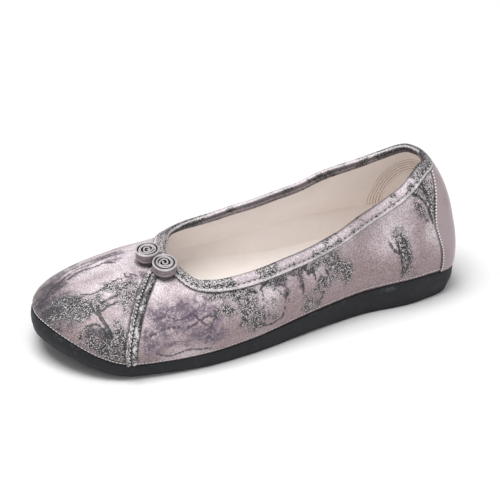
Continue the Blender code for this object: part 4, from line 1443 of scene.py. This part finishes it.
class MakeButtons(bpy.types.Operator):
    """Roll the ribbon buttons"""
    bl_idname = "cloth_shoe.buttons"
    bl_label = "Rolled buttons"

    def execute(self, context):
        for button in BUTTONS:
            self.roll(button, context.scene.shoe_sizes)
        return {"FINISHED"}

    def roll(self, button, sizes):
        radius, thick = BUTTON_DIAMETER / 2, sizes.ribbon
        reach = radius - thick / 2
        within = reach - BUTTON_RIBBON
        coil = within / BUTTON_RIBBON - ROLL_START
        stops = np.cumsum((ROLL_START, coil, ROLL_LEVEL, ROLL_STEP, ROLL_OUTER))
        turns = np.linspace(stops[0], stops[-1], int(ROLL_STEPS * stops[-1]))
        around = 2 * np.pi * turns
        centre = np.interp(turns, stops, (ROLL_START * BUTTON_RIBBON, within, within, reach, reach))
        centre += ROLL_WAVE * np.sin(2.6 * around + button.turn) * np.clip((stops[1] - turns) / 0.5, 0, 1)
        floor = BUTTON_HEIGHT - sizes.button_depth
        wobble = ROLL_WOBBLE * np.sin(2.3 * around + 0.4 * button.turn)
        outermost = turns > stops[3]
        # Light of the ribbon's section: minus paints shade down its sides, where the turns meet; plus
        # lightens its top edges towards the cut edges' colour
        section = table(
            "across up light", (-0.50, 0.0, -1.0), (-0.50, 0.76, -1.0), (-0.47, 0.92, 0.6),
            (-0.34, 1.0, 1.0), (-0.10, 0.95, 0.0), (0.12, 0.95, 0.0), (0.35, 1.0, 1.0), (0.47, 0.93, 0.9),
            (0.50, 0.80, -0.9), (0.50, 0.24, -1.0), (0.50, 0.17, -1.0), (0.50, 0.10, -1.0),
            (0.50, 0.0, -1.0))
        rings, values = [], []
        for edge in section:
            radial = centre + edge.across * thick
            foot = np.where(outermost & (edge.across > 0.2), 0.0004, floor)
            height = foot + (BUTTON_HEIGHT - foot) * edge.up + wobble * (edge.up > 0.5)
            rings.append(np.stack([radial * np.cos(around), radial * np.sin(around), height], -1))
            # On the outermost wall: painted shade at the foot, fading upwards, then a light line
            hem = {0.0: -0.7, 0.10: -0.2, 0.17: 0.45}.get(edge.up, 0.0)
            wall = outermost & (edge.across > 0.45) & (edge.up < 0.9)
            values.append(np.where(wall, hem, edge.light))
        turned, spot = button_place(button)
        mesh = swept(np.stack(rings, axis=1) @ np.array(turned).T + spot, np.stack(values, axis=1))
        light = mesh.verts.layers.float["light"]
        place = Matrix.Translation(spot + SHIFT) @ turned.to_4x4()

        def disc(low, high, wide, narrow, segments, value):
            middle = place @ Matrix.Translation((0, 0, (low + high) / 2))
            made = bmesh.ops.create_cone(mesh, cap_ends=True, segments=segments, radius1=wide,
                                         radius2=narrow, depth=high - low, matrix=middle)
            for v in made["verts"]:
                v[light] = value

        # The core under the coil, in full painted shade, which shows dark between the turns
        disc(0.0002, floor + 0.0002, radius - 0.0004, radius - 0.7 * thick, 64, -1.0)
        if not button.on_strip:
            # The stem under a button off the strip, in half painted shade
            disc(-BUTTON_LIFT, 0.0, BUTTON_STEM / 2, BUTTON_STEM / 2, 32, -0.5)
        made_piece(mesh, button.name, "rolled_ribbon", 50.0, (button.node,))


class MakeStage(bpy.types.Operator):
    """Set the floor, the soft lights and the camera"""
    bl_idname = "cloth_shoe.stage"
    bl_label = "Stage"

    def execute(self, context):
        self.floor(context)
        self.camera(context)
        for row in LIGHTS:
            self.light(row)
        world = bpy.data.worlds.new("pale_room")
        world.use_nodes = True
        background = world.node_tree.nodes["Background"]
        background.inputs["Color"].default_value = (1.0, 1.0, 1.0, 1.0)
        background.inputs["Strength"].default_value = ROOM_LIGHT
        context.scene.world = world
        context.scene.view_settings.view_transform = "Standard"
        return {"FINISHED"}

    def floor(self, context):
        mesh = bmesh.new()
        bmesh.ops.create_grid(mesh, x_segments=1, y_segments=1, size=FLOOR_SIZE / 2)
        graph = Graph("pale_floor", Roughness=0.55, Specular_IOR_Level=0.3)
        material = graph.finish(Base_Color=tuple(context.scene.shoe_colours.floor))
        floor = added("floor", mesh_data(mesh, "floor", material))
        floor.location.z = FLOOR_DROP

    def camera(self, context):
        turn, height, roll = (math.radians(v) for v in (CAMERA_TURN, CAMERA_HEIGHT, CAMERA_ROLL))
        flat = Vector((math.cos(turn), math.sin(turn), 0.0))
        back = Vector((math.sin(turn), -math.cos(turn), math.tan(height))).normalized()
        over = back.cross(flat)
        right = math.cos(roll) * flat + math.sin(roll) * over
        up = math.cos(roll) * over - math.sin(roll) * flat
        data = bpy.data.cameras.new("camera")
        data.lens = CAMERA_LENS
        data.shift_x, data.shift_y = CAMERA_SHIFT
        camera = added("camera", data)
        spot = Vector(SHIFT) + Vector((0.0, 0.0, CAMERA_AIM)) + back * CAMERA_DISTANCE
        basis = Matrix((right, up, back)).transposed().to_4x4()
        camera.matrix_world = Matrix.Translation(spot) @ basis
        context.scene.camera = camera

    def light(self, row):
        data = bpy.data.lights.new(row.name, "AREA")
        data.shape = "RECTANGLE"
        data.size, data.size_y = row.size
        data.energy = row.power
        lamp = added(row.name, data)
        lamp.location = row.place
        ahead = Vector((0.0, 0.0, LIGHT_AIM)) - Vector(row.place)
        lamp.rotation_euler = ahead.to_track_quat("-Z", "Y").to_euler()


class SHOE_PT_looks(bpy.types.Panel):
    """Lists the shoe's sizes, colours and steps"""
    bl_label = "Cloth Shoe"
    bl_idname = "SHOE_PT_looks"
    bl_space_type = "VIEW_3D"
    bl_region_type = "UI"
    bl_category = "Cloth Shoe"

    def draw(self, context):
        for group in (context.scene.shoe_sizes, context.scene.shoe_colours):
            box = self.layout.box()
            for name in group.__annotations__:
                box.prop(group, name)
        for step in STEPS:
            self.layout.operator(step.bl_idname)


STEPS = (MakeStage, MakeCloth, MakeSock, MakeSole, MakeTapes, MakeStrip, MakeHeel, MakeFeatherSeam,
         MakeButtons)
CLASSES = (Sizes, Colours, *STEPS, SHOE_PT_looks)


def register():
    for entry in CLASSES:
        bpy.utils.register_class(entry)
    bpy.types.Scene.shoe_sizes = bpy.props.PointerProperty(type=Sizes)
    bpy.types.Scene.shoe_colours = bpy.props.PointerProperty(type=Colours)


def unregister():
    del bpy.types.Scene.shoe_colours
    del bpy.types.Scene.shoe_sizes
    for entry in reversed(CLASSES):
        bpy.utils.unregister_class(entry)


def main():
    register()
    for step in STEPS:
        group, name = step.bl_idname.split(".")
        getattr(getattr(bpy.ops, group), name)()


if __name__ == "__main__":
    main()
